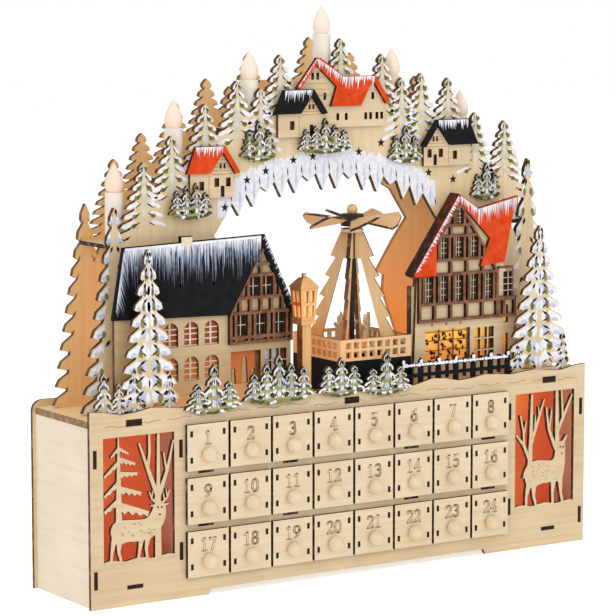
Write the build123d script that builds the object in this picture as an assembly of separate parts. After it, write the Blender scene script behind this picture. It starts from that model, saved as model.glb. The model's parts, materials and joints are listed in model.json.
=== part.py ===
"""Wooden advent calendar: a cabinet of numbered drawers under a lit winter-village arch.

Millimetres. +X runs to the right of someone facing the drawers, +Y to the back, +Z up.
The origin is on the table under the middle of the whole object.
Depths named *_depth are measured back from the front face of the front panel,
and the heights of the arch, the houses and what stands by them are measured from the deck.
"""
import os
from math import atan2, cos, hypot, pi, radians, sin, sqrt

from build123d import *

# Plywood and joinery
ply = 3.0
tab_length = 13.0
tab_slack = 0.1

# Cabinet
cabinet_width = 440.0
side_inset = 2.5
floor_top = 14.9
deck_ply = 5.0
deck_gap = 0.3
deck_seam_depth = 52.0
deck_tab_inset = 35.5
side_tab_inset = 21.0
partition_tab_inset = 19.5
crest_rise = 5.5
crest_swell = 2.0
crest_waves = 9
back_rise = 5.0
back_corner = 8.0
foot_length = 96.0
foot_rise = 4.0
foot_slant = 2.0
service_gap = 2.8

# Drawers
rows = 3
columns = 8
column_pitch = 36.0
row_pitch = 38.6
drawer_front_reveal = 2.0
drawer_front_rail = 5.2
drawer_front_drop = 0.4
drawer_head_room = 5.6
drawer_box_length = 60.0
drawer_back_gap = 6.0
drawer_side_gap = 1.4
drawer_run_gap = 0.3
drawer_front_gap = 0.2
drawer_rim_gap = 0.6
drawer_tab_height = 4.3
drawer_tab_foot = 4.9
drawer_tab_head = 1.8
partition_gap = 1.0
shelf_tab_columns = (0, 2, 5, 7)

# Knobs
knob_radius = 5.4
knob_reach = 8.4
knob_stem_radius = 2.8
knob_stem_length = 2.0
knob_rim = 1.5
knob_drop = 5.4

# Side windows and their cut-out scenes
window_edge = 10.5
window_reveal = 4.0
window_sill_rise = 16.1
window_head_drop = 6.7
backing_depth = 34.0
scene_width = 57.3
scene_height = 90.1
scene_snow = 9.0
scene_gap = 0.1

# Arches
arch_ply = 4.0
rear_arch_margin = 13.0
hill_half_width = 199.0
hill_rise = 224.0
crown_half_width = 40.0
crown_rise = 231.0
gate_foot = 104.0
gate_knee = 78.0
gate_knee_rise = 67.0
gate_hip = 72.0
gate_hip_step = 15.0
gate_brow = 87.0
gate_brow_step = 23.0
gate_shoulder = 97.0
gate_spring_step = 17.0
gate_vault = 42.0
icicle_count = 16
icicle_short = 5.0
icicle_long = 9.0
star_radius = 3.4
ridge_tree_height = 60.0
ridge_tree_half_width = 24.0
ridge_tree_tiers = 9
leg_tree_half_width = 27.0
leg_tree_tiers = 11

# Spruce outline, as shares of a bough's reach and of the step between boughs
bough_notch = 0.5
bough_droop = 0.26
bough_taper = 0.85
bough_heel = 0.74
bough_tip = 0.12
bough_shoulder = 0.9
bough_crook = 0.5
bough_hollow = 0.6
bough_rest = 0.9
trunk_half_width = 3.0
mound_share = 0.3
clump_fall = 0.75
clump_scatter = 0.12
clump_spread = 0.85
trunk_height = 9.0

# Candles
candle_standoff = 11.0
candle_radius = 6.6
sleeve_length = 36.0
sleeve_wall = 1.0
bulb_height = 21.5
bulb_neck_radius = 4.6
shelf_width = 22.0
shelf_ply = 3.0

# Cottages and hall on the arch
verge = 3.2
hall_x = -15.0
hall_half = 17.5
hall_sink = 34.0
hall_wall_height = 30.0
hall_roof_rise = 21.5
wing_x = 36.5
wing_half = 12.5
wing_wall_height = 15.5
wing_roof_rise = 22.0

# Village houses
house_gap = 0.4
window_bar = 2.2
cheek_depth = 6.0
left_end = -189.0
left_corner = -41.5
left_gable = -95.5
left_apex = -66.5
left_eave = 66.0
left_ridge = 119.0
left_storey = 43.5
vent_radius = 1.3
right_start = 69.0
right_end = 164.0
right_corner = 147.0
right_apex = 109.0
right_eave = 83.0
right_ridge = 144.0
right_storey = 47.0

# Street lantern
lantern_x = -37.5
lantern_depth = 7.2
lantern_gap = 0.3
lantern_post = 7.5
lantern_post_height = 56.0
lantern_head = 12.5
lantern_crown = 15.0
lantern_eave = 17.0
lantern_tip = 6.0
lantern_glass_height = 24.0
lantern_roof_height = 7.0

# Turning pyramid
pyramid_x = 27.0
plinth_width = 64.0
plinth_front_depth = 8.0
plinth_height = 25.0
rail_height = 16.0
rail_cells = 8
rail_bar = 2.3
rail_end = 4.0
cup_radius = 5.0
cup_height = 6.0
cup_floor = 2.0
shaft_end_gap = 0.3
frame_head_drop = 18.0
frame_crown = 8.5
frame_shoulder = 16.5
frame_foot = 38.0
frame_tiers = 5
frame_notch = 4.0
leg_gap = 0.6
opening_foot = 25.0
opening_head = 7.0
opening_sill = 5.0
collar_height = 2.5
shaft_radius = 2.0
shaft_clearance = 0.05
hub_gap = 2.0
hub_radius = 8.5
hub_height = 9.0
ball_radius = 4.2
blade_count = 6
blade_reach = 36.5
blade_socket = 3.5
blade_root_width = 7.0
blade_tip_width = 25.0
blade_ply = 2.0
blade_pitch = 24.0
turntable_gap = 5.0
turntable_lift = 3.0
figure_count = 3
figure_ply = 2.5
figure_height = 27.0
figure_half_width = 5.5

# Fence and standing spruces
fence_depth = 3.4
fence_ply = 2.0
fence_left = 47.0
fence_right = 149.0
fence_height = 21.0
fence_rail = 2.6
fence_rails = (9.0, 16.5)
fence_posts = 7
fence_post_half = 2.0
spruce_depth = 6.0
bank_height = 6.3

# Battery box, switch and lamps
cell_radius = 7.1
cell_length = 50.5
cell_count = 3
cell_pitch = 16.0
cell_gap = 0.3
tray_wall = 1.6
tray_bottom = 46.0
switch_offset = 14.0
pod_half_height = 6.0
cover_gap = 0.3
switch_travel = 6.0
nub_width = 5.0
nub_height = 4.5
lamp_length = 20.0
lamp_width = 7.0
lamp_board = 1.6
lamp_radius = 2.5
lamp_dome = 3.0
lamp_gap = 0.5

# Places worked out from the sizes above
half_width = cabinet_width / 2
tray_depth = 2 * cell_radius + 2 * cell_gap + tray_wall
rack_depth = drawer_box_length + drawer_back_gap - drawer_front_gap
cabinet_depth = rack_depth + service_gap + tray_depth + ply
front_reach = drawer_front_gap + ply + knob_reach
face_y = (front_reach - cabinet_depth) / 2
back_y = face_y + cabinet_depth
inner_front = face_y + ply
inner_back = back_y - ply
rack_back = face_y + rack_depth
deck_under = floor_top + rows * row_pitch - ply + deck_gap
deck_top = deck_under + deck_ply
side_x = half_width - side_inset - ply
side_tab_heights = (side_tab_inset, deck_under - side_tab_inset)
partition_tab_heights = (floor_top + partition_tab_inset, deck_under - partition_tab_inset)
deck_tab_reach = half_width - deck_tab_inset
box_width = column_pitch - ply - 2 * drawer_side_gap
drawer_box_height = row_pitch - ply - drawer_head_room
drawer_front_width = column_pitch - drawer_front_reveal
drawer_front_height = row_pitch - drawer_front_rail
row_half_width = (columns - 1) / 2 * column_pitch + box_width / 2 + drawer_side_gap
partition_x = columns / 2 * column_pitch + ply / 2 + partition_gap
window_outer = half_width - window_edge
window_inner = partition_x + ply / 2 + window_reveal
window_sill = floor_top + window_sill_rise
window_head = deck_under - window_head_drop
house_depth = lantern_depth + lantern_eave / 2 + lantern_gap
front_arch_depth = house_depth + 2 * ply + lamp_width + 2 * lamp_gap
rear_arch_depth = cabinet_depth - ply - rear_arch_margin
pyramid_depth = plinth_front_depth + plinth_width / 2
front_arch_y = face_y + front_arch_depth
rear_arch_y = face_y + rear_arch_depth
house_y = face_y + house_depth
pyramid_y = face_y + pyramid_depth
plinth_top = deck_top + plinth_height
gate_hip_rise = gate_knee_rise + gate_hip_step
gate_brow_rise = gate_hip_rise + gate_brow_step
gate_spring = gate_brow_rise + gate_spring_step
hub_z = deck_top + gate_spring + hub_height / 2
frame_top = hub_z - hub_height / 2 - hub_gap - collar_height
frame_head = frame_top - frame_head_drop
turntable_radius = opening_foot - turntable_gap
leg_inner = shaft_radius + leg_gap
hall_floor = crown_rise - hall_sink
hall_eave = hall_floor + hall_wall_height
hall_apex = hall_eave + hall_roof_rise
wing_eave = hall_floor + wing_wall_height
wing_apex = wing_eave + wing_roof_rise
parts = {}


def shelf_top(row):
    """Height of the sheet that a row of drawers runs on, row 0 being the top one."""
    return floor_top + (rows - 1 - row) * row_pitch


def polygon(points):
    """Flat face bounded by straight lines, drawn as (x, z)."""
    return make_face(Polyline(*points, close=True))


def rectangle(x0, z0, x1, z1):
    """Flat rectangle between two corners."""
    return Pos((x0 + x1) / 2, (z0 + z1) / 2) * Rectangle(x1 - x0, z1 - z0)


def joined(shapes):
    """All the flat faces of a list as one."""
    whole = shapes[0]
    return whole + shapes[1:] if len(shapes) > 1 else whole


def on_deck(points):
    """Points given by their height above the deck, as (x, z) in the part's frame."""
    return [(x, deck_top + height) for x, height in points]


def upright(sketch, y, thickness):
    """Sheet cut to an (x, z) outline, its front face at y."""
    plane = Plane(origin=(0, y + thickness, 0), x_dir=(1, 0, 0), z_dir=(0, -1, 0))
    return extrude(plane * sketch, amount=thickness, dir=(0, -1, 0))


def block(x0, x1, y0, y1, z0, z1):
    """Square-cut piece between two corners."""
    return Pos((x0 + x1) / 2, (y0 + y1) / 2, (z0 + z1) / 2) * Box(x1 - x0, y1 - y0, z1 - z0)


def strip(start, end, start_width, end_width):
    """Tapering flat stroke from one (x, z) point to another."""
    along = hypot(end[0] - start[0], end[1] - start[1])
    nx = -(end[1] - start[1]) / along
    nz = (end[0] - start[0]) / along
    a, b = start_width / 2, end_width / 2
    return polygon([
        (start[0] + nx * a, start[1] + nz * a), (start[0] - nx * a, start[1] - nz * a),
        (end[0] - nx * b, end[1] - nz * b), (end[0] + nx * b, end[1] + nz * b),
    ])


def spruce(x, base, tip, half_width, tiers, trunk=0.0):
    """Outline of a spruce with drooping, round-ended boughs, one pair to a tier."""
    step = (tip - base - trunk) / tiers
    reach = [half_width * (1 - tier / tiers) ** bough_taper for tier in range(tiers)]
    side = []
    for tier, out in enumerate(reach):
        z = base + trunk + tier * step
        side += [(out * bough_heel, z), (out, z + bough_tip * step),
                 (out * bough_shoulder, z + bough_crook * step)]
        if tier + 1 < tiers:
            above = reach[tier + 1]
            side += [(above * bough_hollow, z + bough_rest * step),
                     (above * bough_notch, z + step * (1 + bough_droop))]
    points = [(x + dx, z) for dx, z in side] + [(x, tip)]
    points += [(x - dx, z) for dx, z in reversed(side)]
    outline = polygon(points)
    if trunk:
        outline += rectangle(x - trunk_half_width, base, x + trunk_half_width, base + trunk + step / 2)
    return outline


def star(x, z, radius):
    """Five-pointed star."""
    points = []
    for corner in range(10):
        r = radius if corner % 2 == 0 else radius * 0.42
        turn = pi / 2 + corner * pi / 5
        points.append((x + r * cos(turn), z + r * sin(turn)))
    return polygon(points)


def thicket(left, right, base, top, count):
    """Clump of young spruces, tallest in the middle, rising from one rounded mound."""
    pitch = (right - left) / count
    mound = (top - base) * mound_share
    middle = (left + right) / 2
    steps = 10
    heap = [(middle + (right - left) / 2 * cos(2 * pi * step / steps),
             base + mound / 2 * (1 + sin(2 * pi * step / steps))) for step in range(steps)]
    shapes = [polygon(heap)]
    for index in range(count):
        x = left + (index + 0.5) * pitch
        away = abs(x - middle) / (right - left)
        height = (top - base) * (1 - clump_fall * away - clump_scatter * abs(sin(1.7 * index + left)))
        shapes.append(spruce(x, base + mound * 0.4, base + height, pitch * clump_spread, 4))
    return joined(shapes)


def keep(name, *shapes):
    """Store the solids of one node."""
    parts[name] = [solid for shape in shapes for solid in shape.solids()]


def cabinet_slots():
    """Slots that the deck, floor and side tabs pass through, front and back alike."""
    half_tab = (tab_length + tab_slack) / 2
    slots = []
    for x in (-deck_tab_reach, 0.0, deck_tab_reach):
        slots.append(rectangle(x - half_tab, deck_under - tab_slack / 2, x + half_tab, deck_top + tab_slack / 2))
    for x in (-deck_tab_reach, deck_tab_reach):
        slots.append(rectangle(x - half_tab, floor_top - ply - tab_slack / 2,
                               x + half_tab, floor_top + tab_slack / 2))
    for side in (-1, 1):
        middle = side * (side_x + ply / 2)
        for z in side_tab_heights:
            wide = (ply + tab_slack) / 2
            slots.append(rectangle(middle - wide, z - half_tab, middle + wide, z + half_tab))
    return slots


def sheet_tabs(x_list, top, thickness, front_only=False):
    """Tabs along the front, and the back too unless told otherwise, of a level sheet."""
    tabs = []
    for x in x_list:
        ends = [(face_y, inner_front)] if front_only else [(face_y, inner_front), (inner_back, back_y)]
        for y0, y1 in ends:
            tabs.append(block(x - tab_length / 2, x + tab_length / 2, y0, y1, top - thickness, top))
    return tabs


def make_front_panel():
    """Front sheet: wavy snow line, feet, two windows, three drawer rows and the tab slots."""
    crest = []
    steps = crest_waves * 4
    for index in range(steps + 1):
        x = half_width - cabinet_width * index / steps
        swell = cos(2 * pi * crest_waves * index / steps) + 0.5 * sin(1.3 * index)
        crest.append((x, deck_top + crest_rise + crest_swell * swell))
    foot = half_width - foot_length
    outline = polygon(crest + [(-half_width, 0), (-foot, 0), (-foot + foot_slant, foot_rise),
                               (foot - foot_slant, foot_rise), (foot, 0), (half_width, 0)])
    cuts = cabinet_slots()
    half_tab = (tab_length + tab_slack) / 2
    for row in range(rows):
        z = shelf_top(row)
        head = z + drawer_run_gap + drawer_box_height + drawer_rim_gap
        cuts.append(rectangle(-row_half_width, z, row_half_width, head))
        if row < rows - 1:
            for column in shelf_tab_columns:
                x = column_x(column)
                cuts.append(rectangle(x - half_tab, z - ply - tab_slack / 2, x + half_tab, z))
    for side in (-1, 1):
        low, high = sorted((side * window_inner, side * window_outer))
        cuts.append(rectangle(low, window_sill, high, window_head))
        wide = (ply + tab_slack) / 2
        for z in partition_tab_heights:
            x = side * partition_x
            cuts.append(rectangle(x - wide, z - half_tab, x + wide, z + half_tab))
    keep("front_panel", upright(outline - cuts, face_y, ply))


def make_back_panel():
    """Back sheet with rounded upper corners, the battery opening and the switch slot."""
    sheet = rectangle(-half_width, 0, half_width, deck_top + back_rise)
    upper = sheet.vertices().group_by(Axis.Y)[-1]
    sheet = fillet(upper, back_corner)
    low_x, high_x, low_z, high_z = tray_inside()
    cuts = cabinet_slots() + [rectangle(low_x, low_z, high_x, high_z)]
    half_slot = (switch_travel + nub_width) / 2 + cover_gap
    half_nub = nub_height / 2 + cover_gap
    x, z = switch_place()
    cuts.append(rectangle(x - half_slot, z - half_nub, x + half_slot, z + half_nub))
    keep("back_panel", upright(sheet - cuts, inner_back, ply))


def make_side_panels():
    """Two end sheets standing on the table, tabbed into the front and back."""
    ends = []
    for side in (-1, 1):
        x0, x1 = sorted((side * side_x, side * (side_x + ply)))
        end = block(x0, x1, inner_front, inner_back, 0, deck_under)
        for z in side_tab_heights:
            end += block(x0, x1, face_y, back_y, z - tab_length / 2, z + tab_length / 2)
        ends.append(end)
    keep("side_panels", *ends)


def make_deck_and_floor():
    """Deck of two boards over the side panels, and the floor between them."""
    tab_x = (-deck_tab_reach, 0.0, deck_tab_reach)
    wide = side_x + ply
    seam = face_y + deck_seam_depth
    front = block(-wide, wide, inner_front, seam, deck_under, deck_top)
    back = block(-wide, wide, seam, inner_back, deck_under, deck_top)
    for tab in sheet_tabs(tab_x, deck_top, deck_ply):
        if tab.center().Y < seam:
            front += tab
        else:
            back += tab
    keep("deck_boards", front, back)
    floor = block(-side_x, side_x, inner_front, inner_back, floor_top - ply, floor_top)
    for tab in sheet_tabs(tab_x[::2], floor_top, ply):
        floor += tab
    keep("floor_panel", floor)


def column_x(column):
    """Middle of a column of drawers."""
    return (column - (columns - 1) / 2) * column_pitch


def divider_places():
    """Middles of the upright sheets between the columns."""
    return [(index - columns / 2) * column_pitch for index in range(1, columns)]


def make_drawer_rack():
    """Shelves and dividers halved into each other, with the two outer partitions."""
    lap_y = (inner_front + rack_back) / 2
    half_slot = (ply + tab_slack) / 2
    shelf_half = partition_x - ply / 2
    shelves = []
    for row in range(rows - 1):
        top = shelf_top(row)
        shelf = block(-shelf_half, shelf_half, inner_front, rack_back, top - ply, top)
        for x in divider_places():
            shelf -= block(x - half_slot, x + half_slot, inner_front, lap_y, top - ply, top)
        for tab in sheet_tabs([column_x(c) for c in shelf_tab_columns], top, ply, front_only=True):
            shelf += tab
        shelves.append(shelf)
    keep("drawer_shelves", *shelves)

    dividers = []
    for x in divider_places():
        divider = block(x - ply / 2, x + ply / 2, inner_front, rack_back, floor_top, deck_under)
        for row in range(rows - 1):
            top = shelf_top(row)
            divider -= block(x - ply, x + ply, lap_y, rack_back, top - ply - tab_slack, top + tab_slack)
        dividers.append(divider)
    for side in (-1, 1):
        x0, x1 = side * partition_x - ply / 2, side * partition_x + ply / 2
        partition = block(x0, x1, inner_front, rack_back, floor_top, deck_under)
        for z in partition_tab_heights:
            partition += block(x0, x1, face_y, inner_front, z - tab_length / 2, z + tab_length / 2)
        dividers.append(partition)
    keep("column_dividers", *dividers)


def knob_solid(x, z):
    """Turned knob: short neck, straight rim and a domed face."""
    seat = face_y - drawer_front_gap - ply
    start = (knob_radius, knob_stem_length + knob_rim)
    dome = knob_reach - start[1]
    ball = (knob_radius ** 2 + dome ** 2) / (2 * dome)
    half_turn = atan2(knob_radius, ball - dome) / 2
    crown = (ball * sin(half_turn), knob_reach - ball * (1 - cos(half_turn)))
    profile = make_face([
        Polyline((0, 0), (knob_stem_radius, 0), (knob_stem_radius, knob_stem_length),
                 (knob_radius, knob_stem_length), start),
        ThreePointArc(start, crown, (0, knob_reach)),
        Line((0, knob_reach), (0, 0)),
    ])
    plane = Plane(origin=(x, seat, z), x_dir=(1, 0, 0), z_dir=(0, 0, -1))
    return revolve(plane * profile, Axis((x, seat, z), (0, -1, 0)))


def make_drawer(number, row, column):
    """Drawer: front with through tabs, two sides, back, bottom and knob."""
    x = column_x(column)
    z0 = shelf_top(row) + drawer_run_gap
    z1 = z0 + drawer_box_height
    back_of_front = face_y - drawer_front_gap
    end = back_of_front + drawer_box_length
    half_box = box_width / 2
    front_low = shelf_top(row) - drawer_front_drop
    front_high = front_low + drawer_front_height
    front = rectangle(x - drawer_front_width / 2, front_low, x + drawer_front_width / 2, front_high)
    tab_spans = [(z0 + drawer_tab_foot, z0 + drawer_tab_foot + drawer_tab_height),
                 (z1 - drawer_tab_head - drawer_tab_height, z1 - drawer_tab_head)]
    cuts = []
    sides = []
    for side in (-1, 1):
        x0, x1 = sorted((x + side * half_box, x + side * (half_box - ply)))
        wall = block(x0, x1, back_of_front, end, z0, z1)
        for low, high in tab_spans:
            wall += block(x0, x1, back_of_front - ply, back_of_front, low, high)
            cuts.append(rectangle(x0, low, x1, high))
        sides.append(wall)
    bottom = block(x - half_box + ply, x + half_box - ply, back_of_front, end - ply, z0, z0 + ply)
    back = block(x - half_box + ply, x + half_box - ply, end - ply, end, z0, z1)
    face = upright(front - cuts, back_of_front - ply, ply)
    knob = knob_solid(x, (front_low + front_high) / 2 - knob_drop)
    keep(f"drawer_{number:02d}", face, *sides, back, bottom, knob)


def bare_branches(root, heading, length, width, depth):
    """Leafless tree as tapering strokes, each forking into two shorter ones."""
    end = (root[0] + length * cos(radians(heading)), root[1] + length * sin(radians(heading)))
    strokes = [strip(root, end, width, width * 0.62)]
    if depth:
        for turn in (24 - 6 * depth, -30 + 4 * depth):
            start = (root[0] + 0.86 * (end[0] - root[0]), root[1] + 0.86 * (end[1] - root[1]))
            strokes += bare_branches(start, heading + turn, length * 0.72, width * 0.7, depth - 1)
    return strokes


def deer(x, z, size, facing, antlered):
    """Standing deer seen from the side, its chest towards facing (+1 right, -1 left)."""
    def at(dx, dz):
        return (x + size * facing * dx, z + size * dz)

    def stroke(start, end, start_width, end_width):
        return strip(at(*start), at(*end), size * start_width, size * end_width)
    body = Pos(*at(0, 22)) * Rot(0, 0, facing * 8) * Ellipse(size * 14, size * 6.5)
    shapes = [body]
    for dx, foot in ((-11, -13), (-8, -7), (9, 8), (11, 13)):
        shapes.append(stroke((dx, 20), (foot, 0), 4.2, 1.9))
    shapes.append(stroke((10, 23), (16, 38), 8.5, 4.6))
    shapes.append(stroke((14.5, 38.5), (22.5, 35), 6.0, 2.6))
    shapes.append(stroke((14, 38), (9, 41), 3.0, 1.2))
    shapes.append(stroke((-13, 24), (-17, 19), 3.0, 1.4))
    if antlered:
        for lean, tall in ((-5, 15), (3, 14)):
            shapes.append(stroke((15.5, 39), (15.5 + lean, 39 + tall), 2.2, 1.3))
            for share, span in ((0.35, 6), (0.7, 5)):
                fork = (15.5 + lean * share, 39 + tall * share)
                out = span if lean > 0 else -0.9 * span
                shapes.append(stroke(fork, (fork[0] + out, fork[1] + 5), 1.9, 1.1))
    return shapes


def make_window_scenes():
    """Cut-out woodland scenes standing on a snow bank in the two windows."""
    scenes = []
    sill = window_sill + scene_gap
    head = window_head - scene_gap
    for side in (-1, 1):
        left, right = sorted((side * window_inner, side * window_outer))
        left, right = left + scene_gap, right - scene_gap
        wide = (right - left) / scene_width
        tall = (head - sill) / scene_height
        size = min(wide, tall)
        third = (right - left) / 3
        bank = make_face([
            Line((left, sill + scene_snow), (left, sill)), Line((left, sill), (right, sill)),
            Line((right, sill), (right, sill + scene_snow)),
            Spline((right, sill + scene_snow), (right - third, sill + scene_snow * 0.6),
                   (left + third, sill + scene_snow * 0.95), (left, sill + scene_snow)),
        ])
        floor = sill + scene_snow * 0.5
        if side < 0:
            fir = spruce(left + 13.0 * wide, floor, head - 8.9 * tall, 11.5 * size, 6, 6.0 * size)
            figure = deer(left + 28.0 * wide, floor - 1.5 * size, size, 1, True)
            trunks = bare_branches((right - 7.5 * wide, floor), 92.0, 33.0 * size, 4.6 * size, 3)
            shapes = [bank, fir] + figure + trunks
        else:
            figure = deer(left + 33.0 * wide, floor - 1.5 * size, size, -1, False)
            trunks = bare_branches((left + 11.0 * wide, floor), 88.0, 33.0 * size, 4.6 * size, 3)
            trunks += bare_branches((right - 11.0 * wide, floor), 95.0, 30.0 * size, 4.2 * size, 3)
            shapes = [bank] + figure + trunks
        scene = joined(shapes) & rectangle(left, sill, right, head)
        scenes.append(upright(scene, face_y, ply))
    keep("window_scenes", *scenes)


def make_window_backings():
    """Coloured sheets that close the window boxes behind the scenes."""
    sheets = []
    y = face_y + backing_depth
    for side in (-1, 1):
        low, high = sorted((side * (partition_x + ply / 2), side * side_x))
        sheets.append(block(low, high, y, y + ply, floor_top, deck_under))
    keep("window_backings", *sheets)


def tray_inside():
    """Low x, high x, low z and high z of the battery tray's open side."""
    half = cell_length / 2 + cell_gap
    height = cell_count * cell_pitch
    return -half, half, tray_bottom, tray_bottom + height


def switch_place():
    """Middle of the switch, beside the battery tray."""
    low_x, high_x, low_z, high_z = tray_inside()
    return high_x + tray_wall + switch_offset, (low_z + high_z) / 2


def make_battery_box():
    """Tray with a switch pod, its cells, the cover that closes it and the sliding nub."""
    low_x, high_x, low_z, high_z = tray_inside()
    front = inner_back - tray_depth
    tray = block(low_x - tray_wall, high_x + tray_wall, front, inner_back,
                 low_z - tray_wall, high_z + tray_wall)
    tray -= block(low_x, high_x, front + tray_wall, inner_back, low_z, high_z)
    x, z = switch_place()
    pod_back = inner_back - tray_wall
    tray += block(high_x, x + switch_travel + nub_width, front + tray_wall, pod_back,
                  z - pod_half_height, z + pod_half_height)
    keep("battery_holder", tray)

    cells = []
    for index in range(cell_count):
        place = (0, front + tray_wall + cell_gap + cell_radius, low_z + (index + 0.5) * cell_pitch)
        cells.append(Pos(*place) * Rot(0, 90, 0) * Cylinder(cell_radius, cell_length))
    keep("battery_cells", *cells)

    cover = block(low_x + cover_gap, high_x - cover_gap, inner_back, back_y,
                  low_z + cover_gap, high_z - cover_gap)
    grip = Pos(0, back_y, high_z - 9) * Rot(0, 90, 0) * Cylinder(2.0, 16.0)
    keep("battery_cover", cover - grip)

    foot_gap = (tray_wall - 1.0) / 2
    foot = block(x - nub_width, x + nub_width, pod_back + foot_gap, inner_back - foot_gap,
                 z - nub_height, z + nub_height)
    nub = block(x - nub_width / 2, x + nub_width / 2, inner_back - foot_gap, back_y,
                z - nub_height / 2, z + nub_height / 2)
    shift = Pos(-switch_travel / 2, 0, 0)
    keep("power_switch", shift * (foot + nub))


def make_lamps():
    """Small lamp boards: under the deck in both window boxes, and behind each house."""
    def lamp(x, y, z, up):
        board = block(x - lamp_length / 2, x + lamp_length / 2, y - lamp_width / 2, y + lamp_width / 2,
                      min(z, z + up * lamp_board), max(z, z + up * lamp_board))
        dome = Pos(x, y, z + up * (lamp_board + lamp_dome / 2)) * Cylinder(lamp_radius, lamp_dome)
        return board + dome
    window_x = (side_x + partition_x) / 2
    window_y = (inner_front + face_y + backing_depth) / 2
    behind = house_y + 2 * ply + lamp_gap + lamp_width / 2
    keep("lamp_boards", lamp(-window_x, window_y, deck_under, -1), lamp(window_x, window_y, deck_under, -1),
         lamp(left_apex, behind, deck_top, 1), lamp(right_apex, behind, deck_top, 1))


def gate_height(x):
    """Height above the deck of the arch's underside at x."""
    return gate_spring + gate_vault * sqrt(max(0.0, 1 - (x / (gate_shoulder + 4)) ** 2))


# Tips of the spruces along the arch, as (x, height above the deck), left to right
ridge_tips = (
    (-158, 177), (-135, 195), (-107, 217), (-80, 233), (-60, 227), (-43, 251), (10, 262),
    (47, 250), (65, 232), (83, 235), (108, 231), (134, 204), (162, 197),
)
leg_tips = ((-182, 146), (185, 167))
star_places = (
    (-91, 142), (-72, 161), (-56, 167), (-32, 174), (-15, 176),
    (26, 178), (46, 184), (90, 160), (113, 154),
)


def arch_outline(icicles):
    """Wooded arch standing on two spruce-shaped legs, hung with icicles if asked."""
    steps = 16
    hill = [(hill_half_width * cos(pi * index / steps), hill_rise * sin(pi * index / steps))
            for index in range(steps + 1)]
    shapes = [polygon(on_deck(hill))]
    crown = deck_top + crown_rise
    shapes.append(rectangle(-crown_half_width + 6, crown - 37, crown_half_width + 6, crown))
    for x, height in ridge_tips:
        tip = deck_top + height
        shapes.append(spruce(x, tip - ridge_tree_height, tip, ridge_tree_half_width, ridge_tree_tiers))
    for x, height in leg_tips:
        shapes.append(spruce(x, deck_top, deck_top + height, leg_tree_half_width, leg_tree_tiers))
    gate = [(gate_foot, -1), (gate_knee, gate_knee_rise), (gate_knee + 1, gate_hip_rise - 3),
            (gate_hip, gate_hip_rise), (gate_brow, gate_brow_rise), (gate_shoulder + 3, gate_spring)]
    under = []
    pitch = 2 * gate_shoulder / icicle_count
    for index in range(icicle_count):
        x = gate_shoulder - (index + 0.5) * pitch
        if icicles:
            drop = icicle_short + icicle_long * abs(sin(2.1 * index))
            under.append((x, gate_height(x) - drop))
        if index + 1 < icicle_count:
            under.append((x - pitch / 2, gate_height(x - pitch / 2)))
    opening = polygon(on_deck(gate + under + [(-x, z) for x, z in reversed(gate)]))
    return joined(shapes) - opening


def make_arches():
    """Two matching arches, the front one with icicles and star cut-outs."""
    stars = [star(x, z, star_radius) for x, z in on_deck(star_places)]
    keep("front_arch", upright(arch_outline(True) - stars, front_arch_y, arch_ply))
    keep("rear_arch", upright(arch_outline(False), rear_arch_y, arch_ply))


# Candles as (x, height of the sleeve's top above the deck), left to right
candle_places = ((-176, 156), (-127, 200), (-63, 233), (0, 265.5), (63, 233), (127, 200), (176, 156))


def make_candles():
    """Candle sleeves with flame-shaped bulbs on shelves that bridge the two arches."""
    y = front_arch_y + candle_standoff
    shelves, sleeves, bulbs = [], [], []
    belly = (candle_radius * 0.98, bulb_height * 0.34)
    for x, top in on_deck(candle_places):
        foot = top - sleeve_length
        shelves.append(block(x - shelf_width / 2, x + shelf_width / 2, front_arch_y + arch_ply, rear_arch_y,
                             foot - shelf_ply, foot))
        tube = Pos(x, y, foot + sleeve_length / 2) * Cylinder(candle_radius, sleeve_length)
        bore = Pos(x, y, foot + (sleeve_length - sleeve_wall) / 2) * Cylinder(
            candle_radius - sleeve_wall, sleeve_length - sleeve_wall)
        sleeves.append(tube - bore)
        flame = make_face([
            Line((0, bulb_height), (0, 0)), Line((0, 0), (bulb_neck_radius, 0)),
            Spline((bulb_neck_radius, 0), belly, (candle_radius * 0.62, bulb_height * 0.66), (0, bulb_height)),
        ])
        plane = Plane(origin=(x, y, top), x_dir=(1, 0, 0), z_dir=(0, -1, 0))
        bulbs.append(revolve(plane * flame, Axis((x, y, top), (0, 0, 1))))
    keep("candle_shelves", *shelves)
    keep("candle_sleeves", *sleeves)
    keep("candle_bulbs", *bulbs)


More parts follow.
